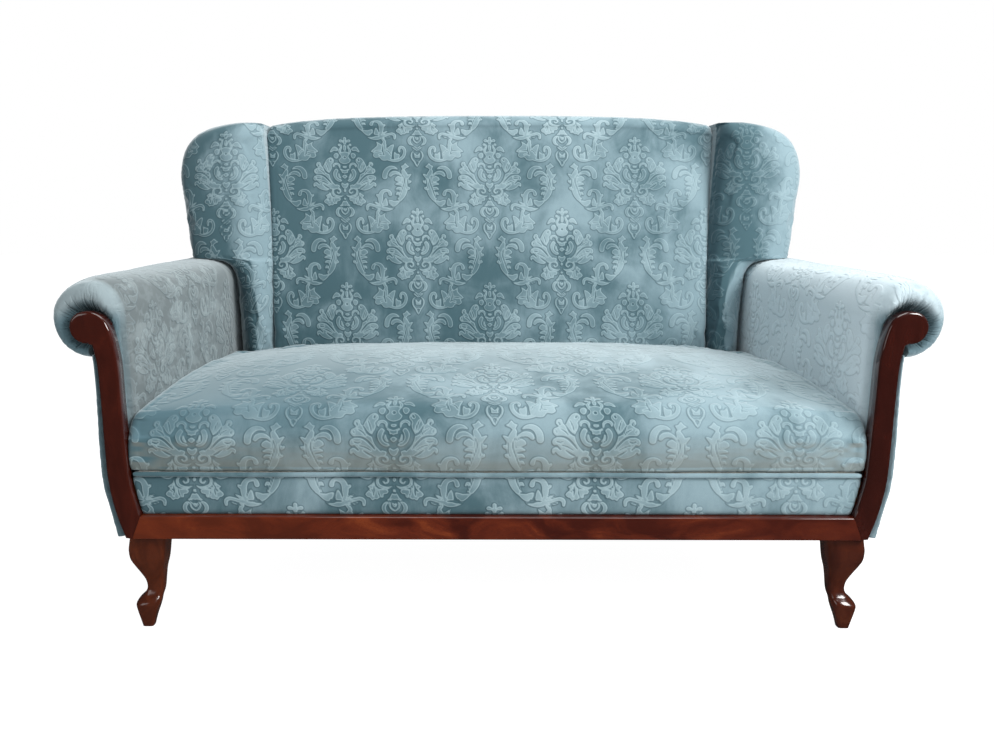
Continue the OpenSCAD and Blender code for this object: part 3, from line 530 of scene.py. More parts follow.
# Grooves: spline points with a half width at each, cut out of the rest
GROOVES = [
    [(0, 9.1, .24), (.02, 9.1, .24)],
    # between the lobes of the palmette and in their curls
    [(5.25, 6.6, .08), (4.6, 5.5, .15), (3.9, 5.0, .14), (3.3, 4.8, .06)],
    [(7.2, 4.75, .1), (5.9, 4.75, .14), (4.9, 4.3, .16), (3.9, 3.3, .14), (3.3, 2.5, .06)],
    [(3.4, 4.0, .06), (2.9, 3.1, .14), (2.2, 2.2, .08)],
    [(6.8, 3.0, .14), (6.2, 2.4, .1)], [(5.3, 2.3, .06), (4.5, 1.7, .14), (3.7, 1.25, .1)],
    [(6.9, 3.9, .08), (6.3, 3.7, .1), (5.8, 3.9, .06)],
    [(3.35, 8.5, .14), (3.5, 8.2, .12)], [(6.5, 7.3, .1), (6.35, 6.9, .12)], [(7.0, 5.8, .09),
     (6.9, 5.5, .08)],
    [(4.5, 7.6, .05), (4.1, 6.6, .09), (3.9, 5.8, .05)], [(6.2, 6.1, .05), (5.4, 5.6, .08), (4.9, 5.0, .05)],
    [(6.0, 3.2, .05), (5.0, 2.9, .09), (4.0, 2.3, .05)],
    # lower leaf
    [(3.7, -.4, .05), (3.6, -1.3, .1), (3.75, -2.2, .06)], [(2.9, -1.2, .05), (2.8, -1.9, .08),
     (2.6, -2.3, .05)],
    [(4.2, -1.5, .05), (3.8, -1.0, .08)],
    # C-scroll
    [(12.8, 5.8, .08), (11.6, 5.75, .12), (10.9, 5.3, .14), (10.6, 4.5, .14)],
    [(13.8, 4.1, .06), (13.1, 4.6, .12), (12.4, 4.4, .12), (11.9, 4.0, .12)],
    [(14.3, 4.4, .05), (14.6, 3.3, .09), (14.4, 2.2, .09), (14.0, 1.1, .08), (13.6, -.1, .08),
     (13.1, -1.2, .05)],
    [(15.3, 3.6, .05), (15.4, 2.2, .08), (15.0, 1.1, .05)],
    [(13.1, -1.65, .12), (12.0, -1.75, .12)], [(11.4, -3.0, .06), (10.75, -2.6, .12), (10.6, -1.4, .08)],
    [(12.2, -3.5, .06), (11.0, -3.5, .14), (10.3, -3.3, .12), (9.4, -3.3, .06)],
    [(10.4, .4, .08), (9.9, -.1, .12), (9.6, -.8, .12), (9.4, -1.6, .12), (9.2, -2.4, .08)],
    [(8.0, -4.1, .08), (7.0, -3.5, .12), (6.2, -3.3, .12), (5.8, -3.5, .06)],
    # cluster leaf
    [(8.3, -5.8, .06), (8.4, -7.0, .1), (8.0, -8.3, .08)], [(8.4, -7.1, .05), (9.4, -7.2, .08),
     (10.2, -7.3, .05)],
    [(8.3, -8.0, .05), (9.2, -8.2, .07)], [(7.4, -5.9, .12), (7.3, -6.6, .08)], [(7.6, -7.0, .05),
     (6.9, -7.4, .07), (6.5, -8.1, .05)],
]

def segments(q, x, y):
    """Ends of each piece of a curve, how far along it the nearest place to x, y lies, and how far off."""
    for a, b in q:
        d = b[:2] - a[:2]
        t = clamp(((x - a[0]) * d[0] + (y - a[1]) * d[1]) / max(1e-9, d @ d))
        yield a, b, t, np.hypot(x - a[0] - t * d[0], y - a[1] - t * d[1])


def leaf_field(x, y, leaf):
    """Depth inside a closed outline, or less than 0 outside. One that starts on the axis is half a leaf."""
    p = np.array(leaf, float)
    if p[0, 0] == 0:
        p = np.concatenate([p, (p[1:-1] * [-1, 1])[::-1]])
    q = spline(np.concatenate([p[-2:], p, p[:2]]), 4)[8:-5]
    depth = np.full(x.shape, 1e9)
    inside = np.zeros(x.shape, bool)
    for a, b, _, off in segments(zip(q, np.roll(q, -1, axis=0)), x, y):
        depth = np.minimum(depth, off)
        if a[1] != b[1]:
            inside ^= ((a[1] > y) != (b[1] > y)) & (x < (b[0] - a[0]) * (y - a[1]) / (b[1] - a[1]) + a[0])
    return np.where(inside, depth, -depth)


def stroke_field(x, y, stroke):
    """Depth inside a brush stroke whose points carry its half width."""
    q = spline(stroke, 5)
    depth = np.full(x.shape, -1e9)
    for a, b, t, off in segments(zip(q[:-1], q[1:]), x, y):
        depth = np.maximum(depth, a[2] + (b[2] - a[2]) * t - off)
    return depth


def damask_tile():
    """Height over or under the edge of the motif, on a grid over half of it."""
    x, y = np.meshgrid(np.arange(TILE_X0, REPEAT_X / 2 + 1, TILE_STEP),
                       np.arange(TILE_Y0, TILE_Y1, TILE_STEP), indexing="ij")
    field = np.full(x.shape, -1.0)
    margin = 1.2
    for kind, table in ((leaf_field, LEAVES), (stroke_field, STROKES), (stroke_field, GROOVES)):
        for row in table:
            low, high = np.min(row, axis=0)[:2] - margin, np.max(row, axis=0)[:2] + margin
            near = (x > low[0]) & (x < high[0]) & (y > low[1]) & (y < high[1])
            depth, old = kind(x[near], y[near], row), field[near]
            field[near] = np.minimum(old, -depth) if table is GROOVES else np.maximum(old, depth)
    return field


TILE = damask_tile()


def tile_at(x, y):
    i = clamp((x - TILE_X0) / TILE_STEP, 0, TILE.shape[0] - 1.001)
    j = clamp((y - TILE_Y0) / TILE_STEP, 0, TILE.shape[1] - 1.001)
    i0, j0 = i.astype(int), j.astype(int)
    a, b = i - i0, j - j0
    return ((TILE[i0, j0] * (1 - a) + TILE[i0 + 1, j0] * a) * (1 - b)
            + (TILE[i0, j0 + 1] * (1 - a) + TILE[i0 + 1, j0 + 1] * a) * b)


def motif_at(cloth):
    """Height over the edge of the damask at places in the cloth, in centimetres of pattern."""
    u, v = cloth[..., 0], cloth[..., 1]
    x = np.abs((u + REPEAT_X / 2) % REPEAT_X - REPEAT_X / 2)
    y = (v + REPEAT_Y / 2) % REPEAT_Y - REPEAT_Y / 2
    return np.maximum(tile_at(x, y), tile_at(REPEAT_X / 2 - x, v % REPEAT_Y - REPEAT_Y / 2))


# Materials
def new_material(name):
    """A material, its nodes, the inputs of its shader and the place on the object."""
    mat = bpy.data.materials.new(name)
    mat.use_nodes = True
    mat.node_tree.nodes.clear()
    g = Nodes(mat.node_tree)
    shader = g.add("ShaderNodeBsdfPrincipled")
    g.add("ShaderNodeOutputMaterial", {0: shader.outputs[0]})
    return mat, g, shader.inputs, g.add("ShaderNodeTexCoord").outputs["Object"]


def gathers(g, x, y, z):
    """Painted light round an arm's scroll head: a painted highlight above, a painted shadow in a ring where
    the cloth is tucked, and the front darker below the roll's middle.
    """
    def front(start, end, most):
        return g.ramp(y, (ARM_FRONT_Y + start) * MM, (ARM_FRONT_Y + end) * MM, most, 0.0)

    def height(low, high, below, above):
        return g.ramp(z, (ROLL_Z + low) * MM, (ROLL_Z + high) * MM, below, above)

    out = g.math("SUBTRACT", g.math("ABSOLUTE", x), ROLL_X * MM)
    away = g.math("SUBTRACT", z, HEAD_Z * MM)
    reach = g.math("SQRT", g.total(g.product(out, out), g.product(away, away)))
    return [(g.product(front(12, 26, 1.0), height(-30, 10, 0.0, 0.4)), rgb(178, 198, 204)),
            (g.product(g.ramp(reach, 0.036, 0.054, 0.85, 0.0), front(12, 26, 1.0)), rgb(46, 72, 80)),
            (g.product(front(0, 30, 0.75), height(-10, 25, 1.0, 0.0)), rgb(84, 112, 121))]


def velvet(name, fill=1.0, warm=0.0, pale=None, lean=1.0, shift=0.0, shade=0.0, arm=0.0, halo=0.6):
    """Cut velvet: pile laid light and dark at random under painted shade, a raised damask, and a painted sheen
    that makes it paler at a glancing angle. Fill is how much paler the motif is than the ground, or None for
    plain cloth. Warm is how strongly a painted reflection of a brownish floor tints the cloth where it turns
    under, and pale a colour that sets the cloth's tones instead, as a painted sheen and light for each arm.
    Lean is how much painted shade darkens the cloth where it faces left, or below 0 how much painted light
    lightens it there, shift how much lighter it is all over, as a painted light for each wing, shade how dark
    a painted shade makes it where it faces fully left, and halo how much paler the painted sheen makes it at a
    glancing angle. Arm is the share of the motif that an arm shows behind its gathers."""
    mat, g, p, here = new_material(name)
    x, y, z = g.split(here)
    facing = g.split(g.add("ShaderNodeNewGeometry").outputs["Normal"])
    cloud = g.noise(here, 4.2, 5.0, 0.55, 0.7)
    streak = g.noise(g.stretch(here, (1.0, 1.0, 0.4)), 17.0, 5.0, 0.65, 0.5)
    # Pile tone at random and painted shade together: darker to the left, and where the cloth faces left
    nap_and_shade = g.total(g.product(cloud, 0.7), g.product(streak, 0.3),
                  g.ramp(x, -0.8, 0.7, shift - 0.1, shift + 0.05),
                  g.ramp(facing[0], -0.8, 0.8, -0.16 * lean, 0.16 * lean))
    if arm:
        nap_and_shade = g.total(nap_and_shade, g.ramp(g.noise(here, 46.0, 3.0, 0.6, 0.6), 0.4, 0.6, -0.06, 0.06))
    brushed_and_shade = g.ramp(nap_and_shade, 0.36, 0.64)
    if pale:
        low, high, raised = (rgb(*(share * c for c in pale)) for share in (0.74, 1.0, 1.1))
    else:
        low, high = rgb(73, 102, 110), rgb(140, 164, 172)
        raised = g.mix(brushed_and_shade, rgb(120, 146, 153), rgb(166, 188, 194))
    fibre = g.noise(here, 1300.0, 2.0, 0.6)
    height = g.product(fibre, 0.1)
    layers = []
    if fill is not None:
        inside = g.add("ShaderNodeAttribute", attribute_name="motif").outputs["Fac"]
        motif = g.ramp(inside, -0.06, 0.09)
        # Painted shadow in a groove just outside the motif's edge, and a painted highlight on a rim just
        # inside it
        groove_shade = g.ramp(g.math("ABSOLUTE", g.total(inside, 0.08)), 0.0, 0.17, 1.0, 0.0)
        rim = g.ramp(g.math("ABSOLUTE", g.math("SUBTRACT", inside, 0.14)), 0.0, 0.13, 1.0, 0.0)
        shown = g.ramp(g.noise(here, 3.1, 3.0, 0.6, 0.4), 0.36, 0.62, 0.2 * fill, 0.85 * fill)
        # Full light from the right flattens the pattern there, and an arm's front has none
        strong = (g.ramp(y, (ARM_FRONT_Y + 8) * MM, (ARM_FRONT_Y + 42) * MM, 0.0, arm) if arm
                  else g.ramp(x, 0.1, 0.62, 1.0, 0.4))
        # The motif, then a painted shadow round its edge and a painted highlight on it
        layers += [(g.product(shown, strong, motif), raised),
                   (g.product(strong, 0.28 + 0.24 * fill, groove_shade), rgb(54, 80, 88)),
                   (g.product(strong, 0.4, rim), rgb(180, 202, 207))]
        height = g.total(height, g.ramp(inside, -0.16, 0.16))
    layers.append((g.ramp(fibre, 0.3, 0.75, 0.0, 0.2), rgb(60, 86, 93)))
    # Painted highlight and shadow round an arm's scroll head
    if arm:
        layers += gathers(g, x, y, z)
    if warm:
        # Painted shade on the left of the seat's top, and a painted reflection of a brownish floor where the
        # cloth turns under
        shaded = g.product(g.ramp(x, -0.6, 0.0, 0.8, 0.0), g.ramp(facing[2], 0.2, 0.7))
        layers += [(shaded, rgb(84, 114, 124)),
                   (g.ramp(facing[2], -0.25, 0.2, warm, 0.0), rgb(126, 128, 120))]
    if shade:
        # Painted shade where the cloth faces fully left
        layers.append((g.ramp(facing[0], -0.8, -0.42, shade, 0.0), rgb(40, 66, 76)))
    # Painted sheen: paler at a glancing angle
    glance = g.add("ShaderNodeLayerWeight").outputs["Facing"]
    layers.append((g.ramp(glance, 0.5, 0.97, 0.0, halo), rgb(196, 206, 208)))
    g.link(p, {"Base Color": g.layers(g.mix(brushed_and_shade, low, high), *layers), "Roughness": 0.82,
               "Specular IOR Level": 0.2, "Sheen Weight": 0.5, "Sheen Roughness": 0.4,
               "Sheen Tint": rgb(224, 236, 240), "Normal": g.bump(height, 0.5, 0.0012)})
    return mat


def show_wood(name, dark, mid, light, figure, haze=0.05):
    """Glossy mahogany: fine pores along the grain, slow figure across it, under a lacquer with some haze."""
    mat, g, p, here = new_material(name)
    slow = g.noise(g.stretch(here, figure), 9.0, 4.0, 0.55, 1.2)
    grain = g.noise(g.stretch(here, tuple(f * 6 for f in figure)), 60.0, 3.0, 0.6, 0.3)
    x = g.split(here)[0]
    # Painted light and shade: lighter and redder to the left, deeper to the right
    colour = g.layers(
        g.mix(g.ramp(slow, 0.36, 0.6), dark, mid), (g.ramp(slow, 0.56, 0.74, 0.0, 0.8), light),
        (g.ramp(grain, 0.42, 0.7, 0.0, 0.35), tuple(c * 0.45 for c in dark[:3]) + (1.0,)),
        (g.ramp(x, -0.7, 0.0, 0.3, 0.0), light), (g.ramp(x, 0.0, 0.7, 0.0, 0.5), dark))
    g.link(p, {"Base Color": colour, "Roughness": g.ramp(grain, 0.3, 0.8, 0.34, 0.46),
               "Specular IOR Level": 0.1, "Coat Weight": 1.0, "Coat IOR": 1.65, "Coat Roughness": haze,
               "Normal": g.bump(grain, 0.06, 0.0006)})
    return mat


def plain_wood(name, dark, light):
    mat, g, p, here = new_material(name)
    here = g.stretch(here, (1.0, 6.0, 6.0))
    grain = g.noise(here, 14.0, 5.0, 0.6, 0.8)
    fleck = g.noise(g.stretch(here, (8.0, 1.0, 1.0)), 90.0, 2.0)
    colour = g.layers(g.mix(g.ramp(grain, 0.3, 0.7), dark, light),
                      (g.ramp(fleck, 0.55, 0.75, 0.0, 0.5), dark))
    g.link(p, {"Base Color": colour, "Roughness": 0.62, "Normal": g.bump(grain, 0.2, 0.001)})
    return mat


def woven(name, dark, light, threads, rough=0.85):
    """Coarse plain weave from two crossed waves."""
    mat, g, p, here = new_material(name)
    x, y, z = g.split(here)
    across = g.math("SINE", g.product(x, threads))
    up = g.math("SINE", g.product(g.total(y, z), threads))
    weave = g.math("MULTIPLY_ADD", g.product(across, up), 0.5, 0.5)
    height = g.total(g.product(weave, 0.7), g.product(g.noise(here, 220.0), 0.3))
    g.link(p, {"Base Color": g.mix(g.ramp(height, 0.2, 0.8), dark, light), "Roughness": rough,
               "Normal": g.bump(height, 0.5, 0.001)})
    return mat


def wadding(name):
    mat, g, p, here = new_material(name)
    fluff = g.noise(here, 60.0, 6.0, 0.7, 1.0)
    g.link(p, {"Base Color": g.mix(g.ramp(fluff, 0.3, 0.7), rgb(214, 208, 192), rgb(244, 240, 228)),
               "Roughness": 0.95, "Sheen Weight": 0.3, "Normal": g.bump(fluff, 0.6, 0.003)})
    return mat


def steel(name, tone, rough):
    mat, g, p, here = new_material(name)
    scuff = g.noise(here, 180.0, 4.0, 0.6)
    g.link(p, {"Base Color": g.mix(g.ramp(scuff, 0.35, 0.7), rgb(*[int(c * 0.7) for c in tone]), rgb(*tone)),
               "Metallic": 1.0, "Roughness": g.ramp(scuff, 0.2, 0.8, rough, rough + 0.2)})
    return mat


VELVET = velvet("damask_velvet")
SEAT_VELVET = velvet("seat_velvet", fill=0.8, warm=0.6)
# The wings and the arms are one velvet in copies for each side, with their own painted light, shade and sheen
WING_VELVET = {-1: velvet("left_wing_velvet", fill=0.38, lean=2.2, shift=0.09, shade=0.72),
               1: velvet("right_wing_velvet", fill=0.4, lean=2.6, shift=-0.16, shade=0.72, halo=0.15)}
ARM_VELVET = {-1: velvet("left_arm_velvet", fill=0.5, pale=(152, 162, 163), lean=0.3, arm=0.42),
              1: velvet("right_arm_velvet", fill=1.0, pale=(199, 214, 220), lean=-1.6, arm=0.42)}
PLAIN_VELVET = velvet("plain_velvet", fill=None)
RAIL_WOOD = show_wood("rail_mahogany", rgb(66, 18, 6), rgb(96, 34, 13), rgb(132, 58, 24), (1.0, 3.0, 2.0))
FACING_WOOD = show_wood("facing_mahogany", rgb(46, 9, 3), rgb(58, 15, 6), rgb(78, 25, 10), (3.0, 3.0, 1.0))
LEG_WOOD = show_wood("leg_mahogany", rgb(60, 20, 7), rgb(86, 35, 14), rgb(108, 50, 22), (3.0, 3.0, 1.0),
                     haze=0.16)
FINISH = {
    "frame_wood": plain_wood("beech", rgb(176, 138, 92), rgb(214, 180, 134)), "wadding": wadding("wadding"),
    "hessian": woven("jute", rgb(122, 96, 60), rgb(186, 158, 112), 2600.0),
    "cambric": woven("black_cambric", rgb(14, 14, 15), rgb(34, 34, 36), 5200.0, rough=0.9),
    "spring_steel": steel("spring_steel", (92, 92, 96), rough=0.35),
    "bolt_steel": steel("zinc_bolt", (190, 192, 196), rough=0.25),
    "velvet": PLAIN_VELVET, "show_wood": LEG_WOOD}
for row in frame["record"]["subparts"]:
    cad = bpy.data.objects.get(row["node"])
    if cad is not None and cad.type == "MESH":
        cad.data.materials.clear()
        cad.data.materials.append(FINISH[row["material_slot"]])


def cloth_uv(u_mm, v_mm):
    return np.stack(np.broadcast_arrays(u_mm / 10, v_mm / 10 * PATTERN_Y), axis=-1)


def soft_piece(obj, fill, *nodes):
    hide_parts(*nodes)


def wood_piece(obj, node):
    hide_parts(node)


# Seat
def seat_top(t, s):
    return (SEAT_H + SEAT_RISE * np.sin(np.radians(125 * s))
            + SEAT_CROWN * (1 - np.abs(t) ** 4) * (0.5 + 0.5 * np.sin(np.radians(90 * s))))


def seat_path(t):
    top, y0, edge_r, drop = seat_top(t, 0.1), FRONT_Y + 6, 42, 44
    path = [(BORDER_Y, SEAT_Z0), (y0 + 1.5, SEAT_Z0 + 12), (y0 - 1, SEAT_Z0 + 30),
            (y0, (SEAT_Z0 + top) / 2 + 6), (y0 + 5, top - drop + 4)]
    path += [(y0 + 10 + edge_r * (1 + math.cos(a)), top - drop + drop * math.sin(a))
             for a in np.radians((155, 130, 105))]
    along = (0.2, 0.33, 0.46, 0.6, 0.74, 0.88, 1.0)
    return path + [(FRONT_Y + SEAT_D * s, float(seat_top(t, s))) for s in along]


def build_seat():
    columns, rows_n = 501, 260
    side = np.linspace(-1, 1, columns)
    rows = []
    for t in side:
        y, z = even(spline(seat_path(t), 8), rows_n).T
        limit = np.minimum(wall_x(y) - GAP, np.where(y < ARM_FRONT_Y + 6, FACING_IN - GAP, HALF_W))
        rows.append(points(t * limit, y, z))
    grid = np.array(rows)
    far = across_grid(grid)
    left = (1 - np.abs(side))[:, None] * np.abs(grid[0, :, 0])
    # The edges are sewn in at the sides, less so in front, then along the back and the front
    drop = (10 * round_off(left, 20) * (0.3 + 0.7 * smooth(far / 95)) + 7 * round_off(far[:, -1:] - far, 16)
            + 5 * round_off(far, 9))
    grid = soften(grid, pressure=2.4, cap=5.0)
    n = normals_of(grid)
    n *= np.sign(n[columns // 2, grid.shape[1] // 2, 2])
    grid = grid - n * drop[..., None]
    grid[..., 2] += 0.9 * ripple(grid[..., 0], grid[..., 1], 3) * smooth(left / 60)
    # The underside is flat and a little narrower
    base = grid.copy()
    share = np.linspace(0, 1, grid.shape[1])
    base[..., 0] *= 0.985
    base[..., 1] = grid[:, :1, 1] + 3 + (grid[:, -1:, 1] - 6 - grid[:, :1, 1]) * share
    base[..., 2] = SEAT_Z0
    up = far - crossing(far, grid[..., 2], SEAT_MOTIF_Z)[:, None]
    uv = cloth_uv((grid[..., 0] - SEAT_AXIS) / SEAT_STRETCH, up)
    soft_piece(shell("seat_cushion", grid, base, uv, SEAT_VELVET), 0.95, "seat_cover", "seat_foam")


# Back
def crown_top(u):
    return BACK_H - 10 * u * u - 16 * np.abs(u) ** 6


def face_y(z):
    return SEAT_BACK_Y + 2 + np.maximum(0, z - SEAT_H - 30) * tan(FACE_RAKE)


def back_path(u):
    top = float(crown_top(u))
    z1, z0 = top - TOP_R, SEAT_H + 8
    path = []
    for s in np.arange(0, 1.01, 0.125):
        z = z0 + (z1 - z0) * s
        path.append((face_y(z) - BACK_FULL * math.sin(math.pi * s) * (1 - 0.6 * abs(u) ** 6), z))
    path += [(face_y(z1) + TOP_R * (1 + math.cos(a)), z1 + TOP_R * math.sin(a))
             for a in np.radians((160, 140, 115, 90))]
    rear = arm_end(top)
    return path + [((path[-1][0] + rear) / 2, top + 0.5), (rear - 6, top - 0.5), (rear, top - 5)]


def build_back():
    columns, rows_n = 401, 260
    side = np.linspace(-1, 1, columns)
    rows = []
    for u in side:
        y, z = even(spline(back_path(u), 7), rows_n).T
        rows.append(points(u * (seam_x(z) - GAP), y, z))
    grid = np.array(rows)
    far = across_grid(grid)
    left = (1 - np.abs(side))[:, None] * np.abs(grid[0, :, 0])
    grid = soften(grid, pressure=2.0, cap=4.0)
    n = normals_of(grid)
    face_row = 80
    n *= -np.sign(n[columns // 2, face_row, 1])
    grid = grid - n * (15 * round_off(left, 24) + 4 * round_off(far[:, -1:] - far, 8))[..., None]
    grid[..., 1] += ripple(grid[..., 0], grid[..., 2], 5) * smooth(left / 60)
    z = np.minimum(grid[..., 2], crown_top(side)[:, None] - 26)
    y = np.maximum(rear_y(z) - 66, np.minimum(grid[..., 1] + 8, arm_end(z)))
    core = points(grid[..., 0] * 0.99, y, z)
    # The cloth is cut a little narrower towards the seat
    narrow = 0.9865 + 0.0001 * (grid[..., 2] - BACK_MOTIF_Z)
    uv = cloth_uv(grid[..., 0] / narrow, far - crossing(far, grid[..., 2], BACK_MOTIF_Z)[:, None])
    soft_piece(shell("back_cushion", grid, core, uv, VELVET), 0.92, "back_cover", "back_foam")


# Wings
ARM_REAR_POWER = 3.6
WING_LINE = spline([
    (ROLL_X - 4, ARM_H + 2), (ROLL_X + WING_OUT - 15, ARM_H + 68), (ROLL_X + WING_OUT - 5, BACK_H - 210),
    (ROLL_X + WING_OUT, BACK_H - 150), (ROLL_X + WING_OUT - 7, BACK_H - 106), (ROLL_X - 2, BACK_H - 72),
    (ROLL_X - 37, BACK_H - 47), (ROLL_X - 88, BACK_H - 32), (BACK_HALF + BACK_FLARE + 4, BACK_H - 27)], 12)


def wing_outer(z):
    """Outer edge of a wing: down the inside of the arm, over the arm's roll, then the wing's own line."""
    if z < ARM_H:
        power = 2 / ARM_REAR_POWER
        s = clamp((z - ROLL_Z) / ROLL_R) ** (1 / power)
        return float(ROLL_X - (ARM_IN + SPLAY) * (1 - s * s) ** (power / 2)) - 2
    return float(np.interp(z, WING_LINE[:, 1], WING_LINE[:, 0]))


def wing_row(z, count):
    """A level line across a wing's face, rounded to both edges, falling back where the arm is beside it."""
    x0, x1 = float(seam_x(z)) + GAP, wing_outer(z)
    s = 0.5 - 0.5 * np.cos(np.linspace(0, math.pi, count))
    edge = np.maximum(0, 1 - np.abs(2 * s - 1) ** WING_CROWN) ** (1 / WING_CROWN)
    beside = smooth((ARM_H - 30 - z) / 130)
    depth = WING_EDGE * min(1, (x1 - x0) / 90) * (1 - edge) + 60 * beside * clamp((s - 0.45) / 0.55) ** 1.5
    face = SEAT_BACK_Y + max(1, (z - SEAT_H - 50) * tan(REAR_RAKE) - 7)
    t = max(0.0, (z - WING_TOP + TOP_R) / TOP_R)
    top_edge = TOP_R * (1 - math.sqrt(1 - min(1.0, t * t)))
    return points(x0 + (x1 - x0) * s, face + top_edge + depth, z)


def build_wing(side):
    low = np.concatenate([np.linspace(WING_LOW_Z, ROLL_Z, 60)[:-1], np.linspace(ROLL_Z, ARM_H - 1, 40)])
    high = np.concatenate([np.linspace(ARM_H + 3, WING_TOP - TOP_R, 110)[:-1],
                           WING_TOP - TOP_R + TOP_R * np.sin(np.linspace(0, math.pi / 2, 26)) * 0.985])
    heights = np.concatenate([low, high])
    grid = soften(np.array([wing_row(z, 71) for z in heights]), pressure=1.6, cap=3.0)
    x, z = grid[..., 0], grid[..., 2]
    grid[..., 1] += 0.9 * ripple(x, z, 7 + side) * smooth(np.minimum(x - x[:, :1], x[:, -1:] - x) / 30)
    core = points(x - 0.03 * (x - seam_x(z)), np.maximum(rear_y(z) - 80, grid[..., 1] + 1.5), z)
    axis, level = WING_MOTIF[side]
    across = across_grid(grid)
    middle = np.array([np.interp(axis, line, far) for line, far in zip(x, across)])
    up = (heights - heights[0]) / RAKE_COS
    uv = cloth_uv(across - middle[:, None], (up - np.interp(level, heights, up))[:, None])
    name = HAND[side]
    obj = shell(name + "_wing_pad", grid, core, uv, WING_VELVET[side], side)
    soft_piece(obj, 0.9, name + "_wing_cover", name + "_wing_padding")


def build_outside_wing(side):
    normal = np.gradient(WING_LINE, axis=0)
    normal = np.stack([normal[:, 1], -normal[:, 0]], axis=1)
    normal /= np.linalg.norm(normal, axis=1)[:, None]
    rows, inner = [], []
    share = np.concatenate([[0, 0.015, 0.04, 0.08], np.linspace(0.1, 0.92, 70), [0.95, 0.98, 1.0]])
    for (x, z), (nx, nz) in zip(WING_LINE, normal):
        y0 = wing_row(min(z, WING_TOP - 0.5), 61)[-1][1] - 1.0
        y1 = float(arm_end(z))
        y = y0 + (y1 - y0) * share
        puff = 1.2 * np.sin(math.pi * share) - 3.0 * round_off(y - y0, 5) - 2.0 * round_off(y1 - y, 4)
        for target, out in ((rows, puff), (inner, puff - 3)):
            target.append(points(x + nx * out, y, z + nz * out))
    grid, core = np.array(rows), np.array(inner)
    uv = cloth_uv(across_grid(grid) + 90, lengths(WING_LINE)[:, None])
    name = HAND[side]
    obj = shell(name + "_wing_side", grid, core, uv, WING_VELVET[side], side)
    soft_piece(obj, 0.95, name + "_outside_wing")


# Arms
ANGLES = np.linspace(180, -90, 331)
WALL_STEPS = np.linspace(0, 1, 101)[:-1]
WALL_N = len(WALL_STEPS)
PADDING_T = 16
# How far behind the front the roll is drawn in the most, and over what length it swells again
DRAWN_AT, DRAWN_OVER = 33, 34
# The gathered front of an arm, from the facing's head out to the roll: share of the way, and how far behind
# the arm's front it lies on the roll and on the wall below
RIM = [(0.0, 9.0, 4), (0.05, 7.0, 3), (0.1, 4.6, 2.4), (0.16, 1.4, 2), (0.23, -2.6, 1.8), (0.31, -6.6, 1.8),
       (0.4, -10.0, 2), (0.5, -12.2, 2.4), (0.6, -13.0, 3), (0.7, -12.4, 4), (0.79, -10.2, 5.2),
       (0.87, -6.6, 7), (0.93, -2.2, 9), (0.97, 3.0, 11), (0.993, 8.0, 13)]


def roll_point(angle, y, r):
    """A place on the roll, boxier on its inner side where the arm widens towards the rear."""
    b = ROLL_X - wall_x(y) - (ROLL_R - r)
    power = 2 / (2 + (ARM_REAR_POWER - 2) * clamp((y - FRONT_Y) / SEAT_D))
    c, s = np.cos(np.radians(angle)), np.sin(np.radians(angle))
    inner = angle > 90
    x = np.where(inner, ROLL_X - b * np.maximum(0, -c) ** power, ROLL_X + r * c)
    # The lower outer quarter hangs a little
    z = np.where(inner, ROLL_Z + r * np.maximum(0, s) ** power, ROLL_Z + r * s * np.where(s < 0, 1.08, 1.0))
    return x, z


def arm_row(y, r):
    """Section of an arm: up its inner wall, then round the roll."""
    wall = float(wall_x(y)) + ROLL_R - r
    x, z = roll_point(ANGLES, y, r)
    return (np.concatenate([wall - 2.0 * np.sin(math.pi * WALL_STEPS) ** 2, x]),
            np.concatenate([WALL_Z0 + (ROLL_Z - WALL_Z0) * WALL_STEPS, z]))


def folds(seed):
    """Depth of the gathers at each angle round the scroll head, from 0 on a ridge to 1 in a valley, and
    how far out each one reaches."""
    rng = random.Random(seed)
    marks = [-96.0]
    while marks[-1] < 186:
        marks.append(marks[-1] + rng.uniform(4.2, 9.4))
    depth, reach = [rng.uniform(0.45, 1.15) for _ in marks], [rng.uniform(0.34, 0.72) for _ in marks]
    index = np.clip(np.searchsorted(marks, ANGLES) - 1, 0, len(marks) - 2)
    marks = np.array(marks)
    share = (ANGLES - marks[index]) / (marks[index + 1] - marks[index])
    valley = np.sin(math.pi * np.clip(share, 0, 1)) ** 0.75
    reach = np.interp(index + share, np.arange(len(marks)) + 0.5, reach)
    return valley * np.array(depth)[index], reach


